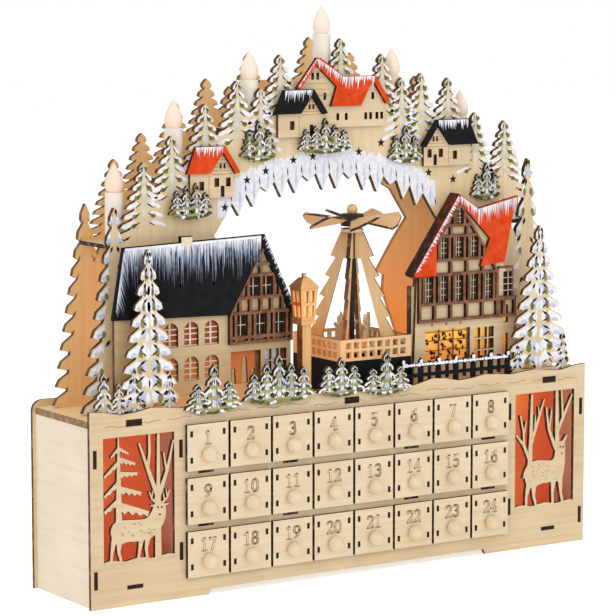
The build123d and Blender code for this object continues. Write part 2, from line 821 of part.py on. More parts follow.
class Cottage:
    """Cottage on the arch: a gable to one side of a sloping roof, given by a few corners."""

    def __init__(self, apex, eave, floor, gable_half, roof_length, roof_lean, side):
        self.apex_x, self.apex_z = apex[0], deck_top + apex[1]
        self.eave, self.floor = deck_top + eave, deck_top + floor
        self.gable_half, self.roof_length, self.roof_lean = gable_half, roof_length, roof_lean
        self.side = side

    def at(self, dx, z):
        """Point dx towards the gable's outer side of the apex."""
        return (self.apex_x + self.side * dx, z)

    def wall(self):
        """Wall sheet behind the roof, with its windows."""
        far = -self.roof_length - self.roof_lean * 0.4
        outline = polygon([
            self.at(self.gable_half - 2, self.floor), self.at(self.gable_half - 2, self.eave),
            self.at(0, self.apex_z - 3), self.at(-self.roof_length + 2, self.apex_z - 3),
            self.at(far, self.eave), self.at(far, self.floor),
        ])
        height = self.eave - self.floor
        windows = []
        for dx in (-self.gable_half * 0.42, self.gable_half * 0.42):
            x, z = self.at(dx, self.floor + height * 0.62)
            windows.append(rectangle(x - 2, z - 3.2, x + 2, z + 3.2))
        count = int((self.roof_length - self.gable_half) // 9)
        for index in range(count):
            x, z = self.at(-self.gable_half - 6 - 9 * index, self.floor + height * 0.5)
            windows.append(rectangle(x - 2, z - 3.2, x + 2, z + 3.2))
        return outline - windows

    def roof(self):
        """Roof slope with the narrow slope that caps the gable's other side."""
        slope = polygon([
            self.at(0, self.apex_z), self.at(-self.roof_length, self.apex_z),
            self.at(-self.roof_length - self.roof_lean, self.eave), self.at(-self.gable_half, self.eave),
            self.at(0, self.apex_z - verge),
        ])
        cap = polygon([
            self.at(-1.0, self.apex_z), self.at(0.5, self.apex_z), self.at(self.gable_half + 2, self.eave),
            self.at(self.gable_half - 2, self.eave - 1), self.at(-1.0, self.apex_z - verge * 1.4),
        ])
        return slope + cap


def hall_wall():
    """Wall sheet of the hall on the crown of the arch: a tall gable with a lower wing to its right."""
    left, right, end = hall_x - hall_half + 2, hall_x + hall_half, wing_x + wing_half - 2
    high = [(left, hall_floor), (left, hall_eave), (hall_x, hall_apex - 3),
            (right, hall_eave), (right, hall_floor)]
    low = [(hall_x, hall_floor), (hall_x, wing_eave), (right, wing_apex - 3), (wing_x, wing_apex - 3),
           (end, wing_eave), (end, hall_floor)]
    sill = (hall_floor + wing_eave) / 2
    panes = [(wing_x - wing_half * 1.9, sill), (wing_x - wing_half * 2.5, sill),
             (hall_x + hall_half / 2, hall_eave - 7)]
    panes += [(wing_x + wing_half * share, sill) for share in (-0.5, -0.15, 0.3, 0.65)]
    panes += [(hall_x - 2, hall_eave + 8), (hall_x + 2.5, hall_eave + 8), (wing_x, wing_eave + 7)]
    windows = [window_pane(x, z, 2.6, 5.2) for x, z in on_deck(panes)]
    return polygon(on_deck(high)) + polygon(on_deck(low)) - windows


def hall_roof():
    """Roof sheet of the hall: the tall gable's verges and the wing's slope between the two gables."""
    left = [(hall_x, hall_apex), (hall_x - hall_half, hall_eave), (hall_x - hall_half + verge, hall_eave - 1),
            (hall_x, hall_apex - verge * 1.4)]
    slope = [(hall_x - 1, hall_apex), (hall_x + verge, hall_apex), (hall_x + hall_half + verge * 2, wing_apex),
             (wing_x, wing_apex), (wing_x - wing_half, wing_eave), (hall_x + hall_half - 5, wing_eave),
             (hall_x + hall_half, hall_eave), (hall_x - 1, hall_apex - verge * 1.4)]
    right = [(wing_x - 1, wing_apex), (wing_x + 0.5, wing_apex), (wing_x + wing_half + 2, wing_eave + 2),
             (wing_x + wing_half - 2, wing_eave + 1), (wing_x - 1, wing_apex - verge * 1.4)]
    return joined([polygon(on_deck(points)) for points in (slope, left, right)])


red_cottages = (Cottage((-94.5, 187), 167.5, 149.5, 11.5, 24.0, 7.5, 1),)
black_cottages = (
    Cottage((-18.0, hall_eave - 1.5), hall_eave - 19, hall_eave - 36, 10.8, 25.5, 8.5, 1),
    Cottage((94.0, 200), 180.5, 165.0, 12.5, 29.5, 9.0, -1),
)


def make_cottages():
    """Cottages glued to the front arch, each a wall sheet under a roof sheet."""
    wall_y = front_arch_y - ply
    walls = [cottage.wall() for cottage in red_cottages + black_cottages] + [hall_wall()]
    keep("cottage_walls", upright(joined(walls), wall_y, ply))
    red = [cottage.roof() for cottage in red_cottages] + [hall_roof()]
    black = [cottage.roof() for cottage in black_cottages]
    for name, group in (("red_cottage_roofs", red), ("black_cottage_roofs", black)):
        keep(name, *[upright(roof, wall_y - ply, ply) for roof in group])


def arched_window(x, sill, width, height):
    """Window opening with a round head."""
    straight = height - width / 2
    frame = rectangle(x - width / 2, sill, x + width / 2, sill + straight)
    return frame + Pos(x, sill + straight) * Circle(width / 2)


def window_pane(x, z, width, height):
    """Upright opening, placed by its middle."""
    return rectangle(x - width / 2, z - height / 2, x + width / 2, z + height / 2)


def storey_cells(left, right, pattern):
    """Letter, left and right edge of each cell of a storey."""
    unit = (right - left) / sum(cell_shares[letter] for letter in pattern)
    cells = []
    for letter in pattern:
        cells.append((letter, left, left + unit * cell_shares[letter]))
        left += unit * cell_shares[letter]
    return cells


def inset_gable(left, right, low, eave, apex, margin):
    """Five-sided gable wall drawn in by a margin."""
    return polygon(on_deck([
        (left + margin, low + margin), (right - margin, low + margin), (right - margin, eave),
        (apex[0], apex[1] - 1.7 * margin), (left + margin, eave)]))


# Storeys of the half-timbered walls: low edge, high edge and cells from left to right,
# each a narrow panel (n), a broad panel (b) or a window (w)
cell_shares = {"n": 1.0, "b": 2.2, "w": 2.2}
left_storeys = ((43.5, 48.5, "nbnbnbn"), (48.5, 66.0, "nwnwnwn"), (66.0, 77.0, "bbbbbb"),
                (77.0, 93.0, "bnwwnb"), (93.0, 101.0, "bbbb"), (101.0, 111.0, "bb"))
right_storeys = ((47.0, 61.0, "bbbbb"), (61.0, 83.0, "nwnwnwnwnwn"), (83.0, 94.0, "bbbbb"),
                 (94.0, 112.0, "nwnwnwnwnwn"), (112.0, 120.0, "bbbbb"), (120.0, 134.0, "nwnwnwnwnwn"))
return_storeys = ((47.0, 61.0, "nb"), (61.0, 83.0, "nw"))


def left_gable_wall(margin):
    """Timbered gable at the right-hand end of the left house."""
    return inset_gable(left_gable, left_corner, left_storey, left_eave, (left_apex, left_ridge - 3), margin)


def right_gable_wall(margin):
    """Timbered gable at the left-hand end of the right house."""
    return inset_gable(right_start + ply, right_corner, right_storey, right_eave,
                       (right_apex, right_ridge - 4), margin)


def framed(wall, left, right, storeys):
    """Half-timbered sheet: every storey's cells cut from a wall's outline, given by its margin."""
    bar = window_bar / 2
    cells = []
    for low, high, pattern in storeys:
        for _, start, end in storey_cells(left, right, pattern):
            cells.append(rectangle(start + bar, deck_top + low + bar, end - bar, deck_top + high - bar))
    return wall(0.0) - (joined(cells) & wall(window_bar))


def gable_windows(wall, left, right, storeys):
    """Window openings in the wall behind its window cells."""
    rim = window_bar / 2 + 0.6
    windows = []
    for low, high, pattern in storeys:
        for letter, start, end in storey_cells(left, right, pattern):
            if letter == "w":
                windows.append(rectangle(start + rim, deck_top + low + rim, end - rim, deck_top + high - rim))
    return joined(windows) & wall(window_bar + 2)


def lattice_door(x, sill):
    """Three by three panes of a shop door."""
    return [window_pane(x + 6.5 * i, deck_top + sill + 9.0 * j, 5.6, 8.0) for i in (-1, 0, 1) for j in (0, 1, 2)]


def left_roof():
    """Slate slope of the left house, with the verge that caps its gable and a chimney."""
    roof = polygon(on_deck([
        (left_end + 6, left_ridge), (left_apex + 1, left_ridge + 3.5), (left_corner + 3, left_eave - 0.5),
        (left_corner - 2, left_eave - 2), (left_apex - 0.5, left_ridge - 5.5), (left_gable, left_eave - 0.5),
        (left_end - 3, left_eave + 2)]))
    chimney = left_apex - 65
    return roof + rectangle(chimney - 5, deck_top + left_ridge - 3, chimney + 5, deck_top + left_ridge + 5.5)


def right_roof():
    """Tiled slopes of the right house: a narrow one on its left, a sweeping one on its right."""
    top = (right_apex, right_ridge)
    left_slope = [top, (right_apex + 1, right_ridge - 5), (right_apex - 11, right_ridge - 21),
                  (right_apex - 21, right_ridge - 35), (right_apex - 21, right_eave - 0.5),
                  (right_apex - 41, right_eave - 0.5), (right_apex - 42, right_eave + 1.5)]
    main_slope = [top, (right_apex + 18, right_ridge - 12), (right_end + 1, right_ridge - 4),
                  (right_end - 3, right_ridge - 15), (right_end - 11.5, right_eave + 6.5),
                  (right_apex + 20.5, right_eave + 4.5), (right_apex + 29.5, right_ridge - 35.5),
                  (right_apex, right_ridge - 6)]
    return polygon(on_deck(left_slope)) + polygon(on_deck(main_slope))


def make_left_house():
    """Long house with a slate roof, a chimney and a half-timbered gable at its right end."""
    outline = polygon(on_deck([
        (left_end, 0), (left_corner, 0), (left_corner, left_eave), (left_apex, left_ridge + 0.5),
        (left_end + 8, left_ridge - 3), (left_end, left_eave + 2)]))
    cuts = [gable_windows(left_gable_wall, left_gable, left_corner, left_storeys)]
    for x in range(4):
        for sill in (20.0, 45.0):
            cuts.append(arched_window(left_end + 29 + 17 * x, deck_top + sill, 12.0, 17.5))
    cuts.append(rectangle(left_gable + 2.5, deck_top + 14.5, left_gable + 28, deck_top + 38))
    cuts += lattice_door(left_corner - 13, 16.0)
    keep("left_house_wall", upright(outline - cuts, house_y + ply, ply))
    vents = [Pos(left_apex - dx, deck_top + left_eave + 23.5) * Circle(vent_radius) for dx in (42.5, 70.0)]
    keep("left_house_roof", upright(left_roof() - vents, house_y, ply))


def make_right_house():
    """Tall half-timbered house with a tiled roof sweeping down to the right, thickened on its left."""
    wall_y = house_y + ply
    outline = polygon(on_deck([
        (right_start, 0), (right_end, 0), (right_end, right_eave - 20), (right_end - 12, right_eave + 8),
        (right_end, right_ridge - 9), (right_apex + 18, right_ridge - 15), (right_apex, right_ridge - 3),
        (right_start + ply, right_eave)]))
    cuts = [gable_windows(right_gable_wall, right_start + ply, right_corner, right_storeys)]
    cuts.append(rectangle(right_start + 11, deck_top + 17, right_start + 53, deck_top + 41))
    cuts += lattice_door(right_corner - 11.5, 18.0)
    cuts += [window_pane(right_end - 8, deck_top + z, 5.0, 14.0) for z in (27.0, 49.0)]
    cheek = block(right_start, right_start + ply, wall_y + ply, wall_y + ply + cheek_depth, deck_top,
                  deck_top + right_eave - 8)
    keep("right_house_wall", upright(outline - cuts, wall_y, ply) + cheek)
    board = polygon(on_deck([
        (right_apex, right_ridge), (right_apex - 42, right_eave + 1.5), (right_apex - 41, right_eave - 0.5),
        (right_start + ply, right_eave - 0.5), (right_apex, right_ridge - 4.6)]))
    board = upright(board - outline, wall_y, ply + cheek_depth)
    keep("right_house_roof", upright(right_roof(), house_y, ply) + board)


def make_timber_frames():
    """Timber frames glued to the gables, cut clear of the roof sheets."""
    left = framed(left_gable_wall, left_gable, left_corner, left_storeys)
    right = framed(right_gable_wall, right_start + ply, right_corner, right_storeys)

    def return_wall(margin):
        return rectangle(right_corner + margin, deck_top + right_storey + margin,
                         right_end - margin, deck_top + right_eave - 20 - margin)
    side = framed(return_wall, right_corner, right_end, return_storeys)
    frames = [left - offset(left_roof(), house_gap, kind=Kind.INTERSECTION),
              (right + side) - offset(right_roof(), house_gap, kind=Kind.INTERSECTION)]
    keep("timber_frames", *[upright(frame, house_y, ply) for frame in frames])


def make_lantern():
    """Street lantern: square post, tapering glazed head and a pointed roof."""
    y = face_y + lantern_depth
    base = Pos(lantern_x, y, 0)
    half_post = lantern_post / 2
    post_top = deck_top + lantern_post_height
    post = base * block(-half_post, half_post, -half_post, half_post, deck_top, post_top)
    plate = base * Pos(0, 0, post_top) * Box(lantern_head, lantern_head, ply, align=(
        Align.CENTER, Align.CENTER, Align.MIN))
    glass_low = post_top + ply
    glass_high = glass_low + lantern_glass_height
    cage = loft([base * Pos(0, 0, glass_low) * Rectangle(lantern_head - 1, lantern_head - 1),
                 base * Pos(0, 0, glass_high) * Rectangle(lantern_crown, lantern_crown)])
    half_pane = (lantern_head - 1 - 3 * window_bar / 2) / 4
    pane_height = (lantern_glass_height - 3 * window_bar) / 2
    for turn in (0, 90):
        for dx in (-half_pane - window_bar / 4, half_pane + window_bar / 4):
            for low in (glass_low + window_bar, glass_low + 2 * window_bar + pane_height):
                pane = block(dx - half_pane + 0.4, dx + half_pane - 0.4, -lantern_crown, lantern_crown,
                             low, low + pane_height)
                cage -= base * Rot(0, 0, turn) * pane
    roof = loft([base * Pos(0, 0, glass_high) * Rectangle(lantern_eave, lantern_eave),
                 base * Pos(0, 0, glass_high + lantern_roof_height) * Rectangle(lantern_tip, lantern_tip)])
    finial = base * Pos(0, 0, glass_high + lantern_roof_height + 1.6) * Cylinder(1.8, 3.2)
    keep("street_lantern", post, plate, cage, roof + finial)


def square_walls(low, high):
    """Four upright sheets round the plinth's edge: front, back, then the two between them."""
    half = plinth_width / 2
    inner = half - ply
    walls = [block(-half, half, y, y + ply, low, high) for y in (-half, inner)]
    walls += [block(x, x + ply, -inner, inner, low, high) for x in (-half, inner)]
    return walls


def make_pyramid_base():
    """Plinth of four walls and a lid round the lower bearing, with a pierced balustrade on its edge."""
    place = Pos(pyramid_x, pyramid_y, 0)
    bore = shaft_radius + shaft_clearance
    walls = square_walls(deck_top, plinth_top - ply)
    lid = Pos(0, 0, plinth_top - ply / 2) * Box(plinth_width, plinth_width, ply)
    lid -= Pos(0, 0, plinth_top) * Cylinder(bore, 4 * ply)
    cup = Pos(0, 0, deck_top + cup_height / 2) * Cylinder(cup_radius, cup_height)
    cup -= Pos(0, 0, deck_top + cup_height / 2 + cup_floor) * Cylinder(bore, cup_height)
    keep("pyramid_base", *[place * piece for piece in walls + [lid, cup]])

    pitch = (plinth_width - 2 * rail_end) / rail_cells
    half_cell = (pitch - rail_bar) / 2
    cell_height = (rail_height - 3 * rail_bar) / 2
    slots = []
    for turn in (0, 90):
        for index in range(rail_cells):
            x = (index - (rail_cells - 1) / 2) * pitch
            for low in (plinth_top + rail_bar, plinth_top + 2 * rail_bar + cell_height):
                slot = block(x - half_cell, x + half_cell, -plinth_width, plinth_width, low, low + cell_height)
                slots.append(Rot(0, 0, turn) * slot)
    rails = square_walls(plinth_top, plinth_top + rail_height)
    keep("pyramid_balustrade", *[place * (rail - slots) for rail in rails])


def make_pyramid_frame():
    """Four spruce-edged legs on the plinth's diagonals, tied by a turned collar at the top."""
    edge = [(leg_inner, frame_top), (frame_crown, frame_top)]
    for index in range(frame_tiers):
        share = index / frame_tiers
        reach = frame_shoulder + (frame_foot - frame_shoulder) * share
        z = frame_head + (plinth_top - frame_head) * share
        edge += [(reach, z), (reach - frame_notch, z - 1.5)]
    edge += [(frame_foot, plinth_top), (opening_foot, plinth_top), (opening_foot, plinth_top + opening_sill),
             (opening_head, frame_head - 2), (leg_inner, frame_head - 2)]
    leg = upright(polygon(edge), -ply / 2, ply)
    place = Pos(pyramid_x, pyramid_y, 0)
    legs = [place * Rot(0, 0, 45 + 90 * quarter) * leg for quarter in range(4)]
    collar = Pos(0, 0, frame_top + collar_height / 2) * Cylinder(frame_crown, collar_height)
    collar -= Pos(0, 0, frame_top) * Cylinder(shaft_radius + shaft_clearance, 4 * collar_height)
    keep("pyramid_frame", *legs, place * collar)


def make_pyramid_rotor():
    """Shaft, hub with a ball top, pitched blades, and the turntable with its figures."""
    place = Pos(pyramid_x, pyramid_y, 0)
    foot = deck_top + cup_floor + shaft_end_gap
    shaft_top = hub_z + hub_height / 2 - 2.0
    shaft = place * Pos(0, 0, (foot + shaft_top) / 2) * Cylinder(shaft_radius, shaft_top - foot)
    hub = Pos(0, 0, hub_z) * Cylinder(hub_radius, hub_height)
    hub += Pos(0, 0, hub_z + hub_height / 2 + ball_radius - 1) * Sphere(ball_radius)
    hub -= Pos(0, 0, (hub_z + shaft_top) / 2 - hub_height / 2) * Cylinder(
        shaft_radius + shaft_clearance, shaft_top - hub_z + hub_height)
    root = hub_radius - blade_socket
    half_root, half_tip = blade_root_width / 2, blade_tip_width / 2
    paddle = polygon([(root, -half_root), (hub_radius + 1, -half_root), (blade_reach - 3, -half_tip),
                      (blade_reach, -half_tip * 0.55), (blade_reach, half_tip * 0.55),
                      (blade_reach - 3, half_tip), (hub_radius + 1, half_root), (root, half_root)])
    paddle = extrude(paddle, amount=blade_ply / 2, both=True)
    blades = []
    for index in range(blade_count):
        turn = Rot(0, 0, 360 / blade_count * index + 12)
        blade = turn * (Pos(0, 0, hub_z) * Rot(blade_pitch, 0, 0) * paddle)
        hub -= blade
        blades.append(place * blade)
    keep("pyramid_rotor", shaft, place * hub, *blades)

    disc_low = plinth_top + turntable_lift
    disc = Pos(0, 0, disc_low + ply / 2) * Cylinder(turntable_radius, ply)
    disc -= Pos(0, 0, disc_low) * Cylinder(shaft_radius + shaft_clearance, 4 * ply)
    floor = disc_low + ply
    wide, tall = figure_half_width, figure_height
    robe = polygon([(-wide, floor), (wide, floor),
                    (wide * 0.47, floor + tall * 0.62), (-wide * 0.47, floor + tall * 0.62)])
    head = Pos(0, floor + tall * 0.78) * Circle(tall * 0.13)
    neck = rectangle(-wide * 0.22, floor + tall * 0.6, wide * 0.22, floor + tall * 0.7)
    wing = polygon([(wide * 0.36, floor + tall * 0.42), (wide * 1.45, floor + tall * 0.55),
                    (wide * 1.18, floor + tall * 0.95), (wide * 0.36, floor + tall * 0.62)])
    arm = strip((-wide * 0.27, floor + tall * 0.5), (-wide * 1.27, floor + tall * 0.66), wide * 0.47, wide * 0.33)
    figure = upright(joined([robe, head, neck, wing, arm]), -figure_ply / 2, figure_ply)
    figures = []
    for index in range(figure_count):
        turn = 360 / figure_count * index - 52
        figures.append(place * Rot(0, 0, turn) * Pos(turntable_radius * 0.55, 0, 0) * Rot(0, 0, 90) * figure)
    keep("pyramid_turntable", place * disc, *figures)


def make_fence():
    """Low garden fence with pointed posts and two rails."""
    half = fence_post_half
    top = deck_top + fence_height
    pitch = (fence_right - fence_left - 2 * half) / (fence_posts - 1)
    shapes = [rectangle(fence_left, deck_top + low, fence_right, deck_top + low + fence_rail)
              for low in fence_rails]
    for index in range(fence_posts):
        x = fence_left + half + index * pitch
        shapes.append(polygon([(x - half, deck_top), (x + half, deck_top), (x + half, top), (x, top + half * 1.25),
                               (x - half, top)]))
        if index + 1 < fence_posts:
            middle = x + pitch / 2
            shapes.append(rectangle(middle - half / 2, deck_top + fence_rails[0] - fence_rail,
                                    middle + half / 2, top - 0.5))
    keep("garden_fence", upright(joined(shapes), face_y + fence_depth, fence_ply))


def make_standing_spruces():
    """Tall spruces with young ones at their feet, at both ends of the deck."""
    end = half_width
    left = [spruce(51.5 - end, deck_top, deck_top + 118, 25.0, 10, trunk_height)]
    for x, height, half in ((15, 33, 9), (27, 25, 8), (39, 37, 9), (68, 30, 8)):
        left.append(spruce(x - end, deck_top, deck_top + height, half, 5, 2.0))
    left.append(rectangle(8 - end, deck_top, 73 - end, deck_top + bank_height))
    right = [spruce(end - 41.0, deck_top, deck_top + 117, 31.0, 10, trunk_height)]
    for x, height, half in ((62, 27, 7), (17, 33, 8)):
        right.append(spruce(end - x, deck_top, deck_top + height, half, 5, 2.0))
    right.append(rectangle(end - 67, deck_top, end - 9, deck_top + bank_height))
    y = face_y + spruce_depth
    keep("standing_spruces", upright(joined(left), y, ply), upright(joined(right), y, ply))


# Clumps of young spruces as left end, right end, foot and top above the deck, and number of trees
rim_clumps = ((-140, -101, -2, 34, 3), (-92, -39, 0, 40, 5), (-28, 6, 1, 34, 3), (11, 48, -1, 32, 3))
arch_clumps = ((-76, -50, 174, 207, 3), (54, 80, 168, 199, 3), (131, 155, 137, 168, 3))
cottage_clumps = ((-138, -106, 135, 166, 4), (-28, 14, hall_eave - 49, hall_eave - 21, 5))


def make_saplings():
    """Clumps of young spruces glued to the front panel's rim and among the cottages."""
    wall_y = front_arch_y - ply
    layers = ((rim_clumps, face_y - ply), (arch_clumps, wall_y), (cottage_clumps, wall_y - ply))
    clumps = []
    for places, y in layers:
        for left, right, foot, top, count in places:
            clumps.append(upright(thicket(left, right, deck_top + foot, deck_top + top, count), y, ply))
    keep("sapling_clumps", *clumps)


def main():
    """Build every node and write one file for each."""
    make_front_panel()
    make_back_panel()
    make_side_panels()
    make_deck_and_floor()
    make_drawer_rack()
    for row in range(rows):
        for column in range(columns):
            make_drawer(row * columns + column + 1, row, column)
    make_window_scenes()
    make_window_backings()
    make_battery_box()
    make_lamps()
    make_arches()
    make_candles()
    make_cottages()
    make_left_house()
    make_right_house()
    make_timber_frames()
    make_lantern()
    make_pyramid_base()
    make_pyramid_frame()
    make_pyramid_rotor()
    make_fence()
    make_standing_spruces()
    make_saplings()
    os.makedirs("parts", exist_ok=True)
    for name, solids in parts.items():
        export_step(Compound(children=solids), f"parts/{name}.step")
        print(name, len(solids))


main()
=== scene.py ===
"""Looks, light and camera for the wooden advent calendar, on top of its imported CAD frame."""
from __future__ import annotations

import json
import logging
import math
from dataclasses import dataclass, field
from enum import Enum
from typing import Sequence

import bmesh
import bpy
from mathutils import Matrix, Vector

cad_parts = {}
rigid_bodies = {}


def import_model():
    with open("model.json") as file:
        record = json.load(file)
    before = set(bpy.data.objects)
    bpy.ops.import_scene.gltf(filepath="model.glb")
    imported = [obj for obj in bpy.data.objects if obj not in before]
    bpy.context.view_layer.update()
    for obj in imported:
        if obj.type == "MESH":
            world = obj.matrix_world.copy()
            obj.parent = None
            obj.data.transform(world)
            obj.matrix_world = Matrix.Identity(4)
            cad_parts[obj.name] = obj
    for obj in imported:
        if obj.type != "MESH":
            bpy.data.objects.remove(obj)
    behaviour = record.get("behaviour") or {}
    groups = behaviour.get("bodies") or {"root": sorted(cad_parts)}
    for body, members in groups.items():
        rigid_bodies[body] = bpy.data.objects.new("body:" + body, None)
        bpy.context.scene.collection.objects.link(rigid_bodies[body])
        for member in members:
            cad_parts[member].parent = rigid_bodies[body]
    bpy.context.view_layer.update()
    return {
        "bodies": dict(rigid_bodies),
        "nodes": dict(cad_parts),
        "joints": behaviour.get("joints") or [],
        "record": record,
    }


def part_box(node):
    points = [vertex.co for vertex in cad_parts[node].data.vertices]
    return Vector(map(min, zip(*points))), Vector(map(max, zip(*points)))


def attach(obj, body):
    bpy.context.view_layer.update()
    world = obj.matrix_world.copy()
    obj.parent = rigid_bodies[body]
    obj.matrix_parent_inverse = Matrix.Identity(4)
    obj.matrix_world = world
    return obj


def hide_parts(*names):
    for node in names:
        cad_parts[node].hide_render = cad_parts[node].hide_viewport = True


LOG = logging.getLogger("calendar")
Point = tuple[float, float]


class Normal(Enum):
    """Axis that a plywood sheet's faces look along."""

    SIDE = "X"
    FRONT = "Y"
    FLAT = "Z"
    UPRIGHT = "any level direction"


def linear(code: str) -> tuple[float, float, float, float]:
    """Linear colour of an sRGB hex code.

    Args:
        code: six hex digits, with or without a leading hash.
    Returns:
        Linear red, green, blue and an alpha of one.
    """
    channels = [int(code.lstrip("#")[i:i + 2], 16) / 255 for i in (0, 2, 4)]
    red, green, blue = [c / 12.92 if c <= 0.04045 else ((c + 0.055) / 1.055) ** 2.4 for c in channels]
    return red, green, blue, 1.0


def add(tree: bpy.types.NodeTree, kind: str, settings: dict | None = None,
        inputs: dict | None = None) -> bpy.types.Node:
    """Add a node, set its properties and its sockets.

    Args:
        tree: node tree that takes the node.
        kind: node type without the "ShaderNode" prefix.
        settings: properties of the node.
        inputs: socket name or index to a value, or to an output socket to link from.
    Returns:
        The new node.
    """
    node = tree.nodes.new("ShaderNode" + kind)
    for name, value in (settings or {}).items():
        setattr(node, name, value)
    for name, value in (inputs or {}).items():
        if isinstance(value, bpy.types.NodeSocket):
            tree.links.new(value, node.inputs[name])
        else:
            node.inputs[name].default_value = value
    return node


def blank(name: str) -> tuple[bpy.types.Material, bpy.types.NodeTree]:
    """New material with an empty node tree.

    Args:
        name: name of the real material.
    Returns:
        The material and its tree.
    """
    material = bpy.data.materials.new(name)
    material.use_nodes = True
    material.node_tree.nodes.clear()
    return material, material.node_tree


def blended(tree: bpy.types.NodeTree, factor: bpy.types.NodeSocket, first: object,
            second: object) -> bpy.types.NodeSocket:
    """Mix two colours.

    Args:
        tree: node tree that takes the node.
        factor: share of the second colour.
        first: colour or socket shown at 0.
        second: colour or socket shown at 1.
    Returns:
        Colour socket of the mix.
    """
    node = add(tree, "Mix", {"data_type": "RGBA"}, {0: factor, 6: first, 7: second})
    return node.outputs[2]


def grain(tree: bpy.types.NodeTree, scale_mm: tuple[float, float, float], detail: float,
          low: float, high: float) -> bpy.types.NodeSocket:
    """Stretched noise in the object's own millimetres, spread between two levels.

    Args:
        tree: node tree that takes the nodes.
        scale_mm: size of the noise along X, Y and Z in millimetres.
        detail: noise detail.
        low: noise level that becomes 0.
        high: noise level that becomes 1.
    Returns:
        Value socket from 0 to 1.
    """
    place = add(tree, "TexCoord").outputs["Object"]
    scale = tuple(1000 / size for size in scale_mm)
    scaled = add(tree, "Mapping", {"vector_type": "POINT"}, {"Vector": place, "Scale": scale})
    noise = add(tree, "TexNoise", {}, {"Vector": scaled.outputs[0], "Scale": 1.0, "Detail": detail})
    spread = add(tree, "MapRange", {"clamp": True}, {0: noise.outputs[0], 1: low, 2: high})
    return spread.outputs[0]


def finished(tree: bpy.types.NodeTree, inputs: dict, relief: bpy.types.NodeSocket | None = None,
             smooth: float = 0.5, rough: float = 0.7, depth_mm: float = 0.1) -> None:
    """End a tree in a Principled surface, with roughness and bump that follow its pattern.

    Args:
        tree: node tree that takes the nodes.
        inputs: sockets of the Principled node.
        relief: pattern from 0 to 1 that the surface's height follows.
        smooth: roughness where the pattern is 0.
        rough: roughness where the pattern is 1.
        depth_mm: height of the relief in millimetres.
    """
    worn = {}
    if relief is not None:
        worn["Roughness"] = add(tree, "MapRange", {}, {0: relief, 3: smooth, 4: rough}).outputs[0]
        worn["Normal"] = add(tree, "Bump", {}, {"Strength": 0.3, "Distance": depth_mm / 1000,
                                                "Height": relief}).outputs[0]
    shader = add(tree, "BsdfPrincipled", {}, {**worn, **inputs})
    add(tree, "OutputMaterial", {}, {"Surface": shader.outputs[0]})


def cut_edges(tree: bpy.types.NodeTree, normal: Normal, span_mm: Point | None = None) -> bpy.types.NodeSocket:
    """Mask of a sheet's cut edges, with the char a little uneven.

    Args:
        tree: node tree that takes the nodes.
        normal: axis that the sheet's faces look along.
        span_mm: lowest and highest Y that is burnt, everywhere if left out.
    Returns:
        Value socket, 1 on a cut edge.
    """
    coords = add(tree, "TexCoord")
    parts = add(tree, "SeparateXYZ", {}, {0: coords.outputs["Normal"]})
    level = normal is Normal.UPRIGHT
    axis = parts.outputs["Z" if level else normal.value]
    facing = add(tree, "Math", {"operation": "ABSOLUTE"}, {0: axis}).outputs[0]
    edge = add(tree, "Math", {"operation": "GREATER_THAN" if level else "LESS_THAN"},
               {0: facing, 1: 0.15 if level else 0.6}).outputs[0]
    if span_mm is not None:
        where = add(tree, "SeparateXYZ", {}, {0: coords.outputs["Object"]}).outputs["Y"]
        for operation, limit in zip(("GREATER_THAN", "LESS_THAN"), span_mm):
            within = add(tree, "Math", {"operation": operation}, {0: where, 1: limit / 1000}).outputs[0]
            edge = add(tree, "Math", {"operation": "MULTIPLY"}, {0: edge, 1: within}).outputs[0]
    uneven = grain(tree, (6.0, 6.0, 6.0), 3.0, 0.2, 0.5)
    soft = add(tree, "Math", {"operation": "MULTIPLY_ADD"}, {0: uneven, 1: 0.35, 2: 0.65}).outputs[0]
    return add(tree, "Math", {"operation": "MULTIPLY"}, {0: edge, 1: soft}).outputs[0]


def lamp_wash(tree: bpy.types.NodeTree,
              lamps_mm: Sequence[tuple[float, float, float]]) -> bpy.types.NodeSocket:
    """Nearness to a few lamps, measured across the front.

    Args:
        tree: node tree that takes the nodes.
        lamps_mm: x, z and reach of each lamp in millimetres.
    Returns:
        Value socket, 1 at a lamp and 0 beyond its reach.
    """
    coords = add(tree, "TexCoord")
    flat = add(tree, "Mapping", {}, {"Vector": coords.outputs["Object"], "Scale": (1.0, 0.0, 1.0)}).outputs[0]
    total = None
    for x, z, reach in lamps_mm:
        away = add(tree, "VectorMath", {"operation": "DISTANCE"},
                   {0: flat, 1: (x / 1000, 0.0, z / 1000)}).outputs["Value"]
        near = add(tree, "MapRange", {"clamp": True, "interpolation_type": "SMOOTHSTEP"},
                   {0: away, 1: 0.0, 2: reach / 1000, 3: 1.0, 4: 0.0}).outputs[0]
        total = near if total is None else add(
            tree, "Math", {"operation": "MAXIMUM"}, {0: total, 1: near}).outputs[0]
    return total


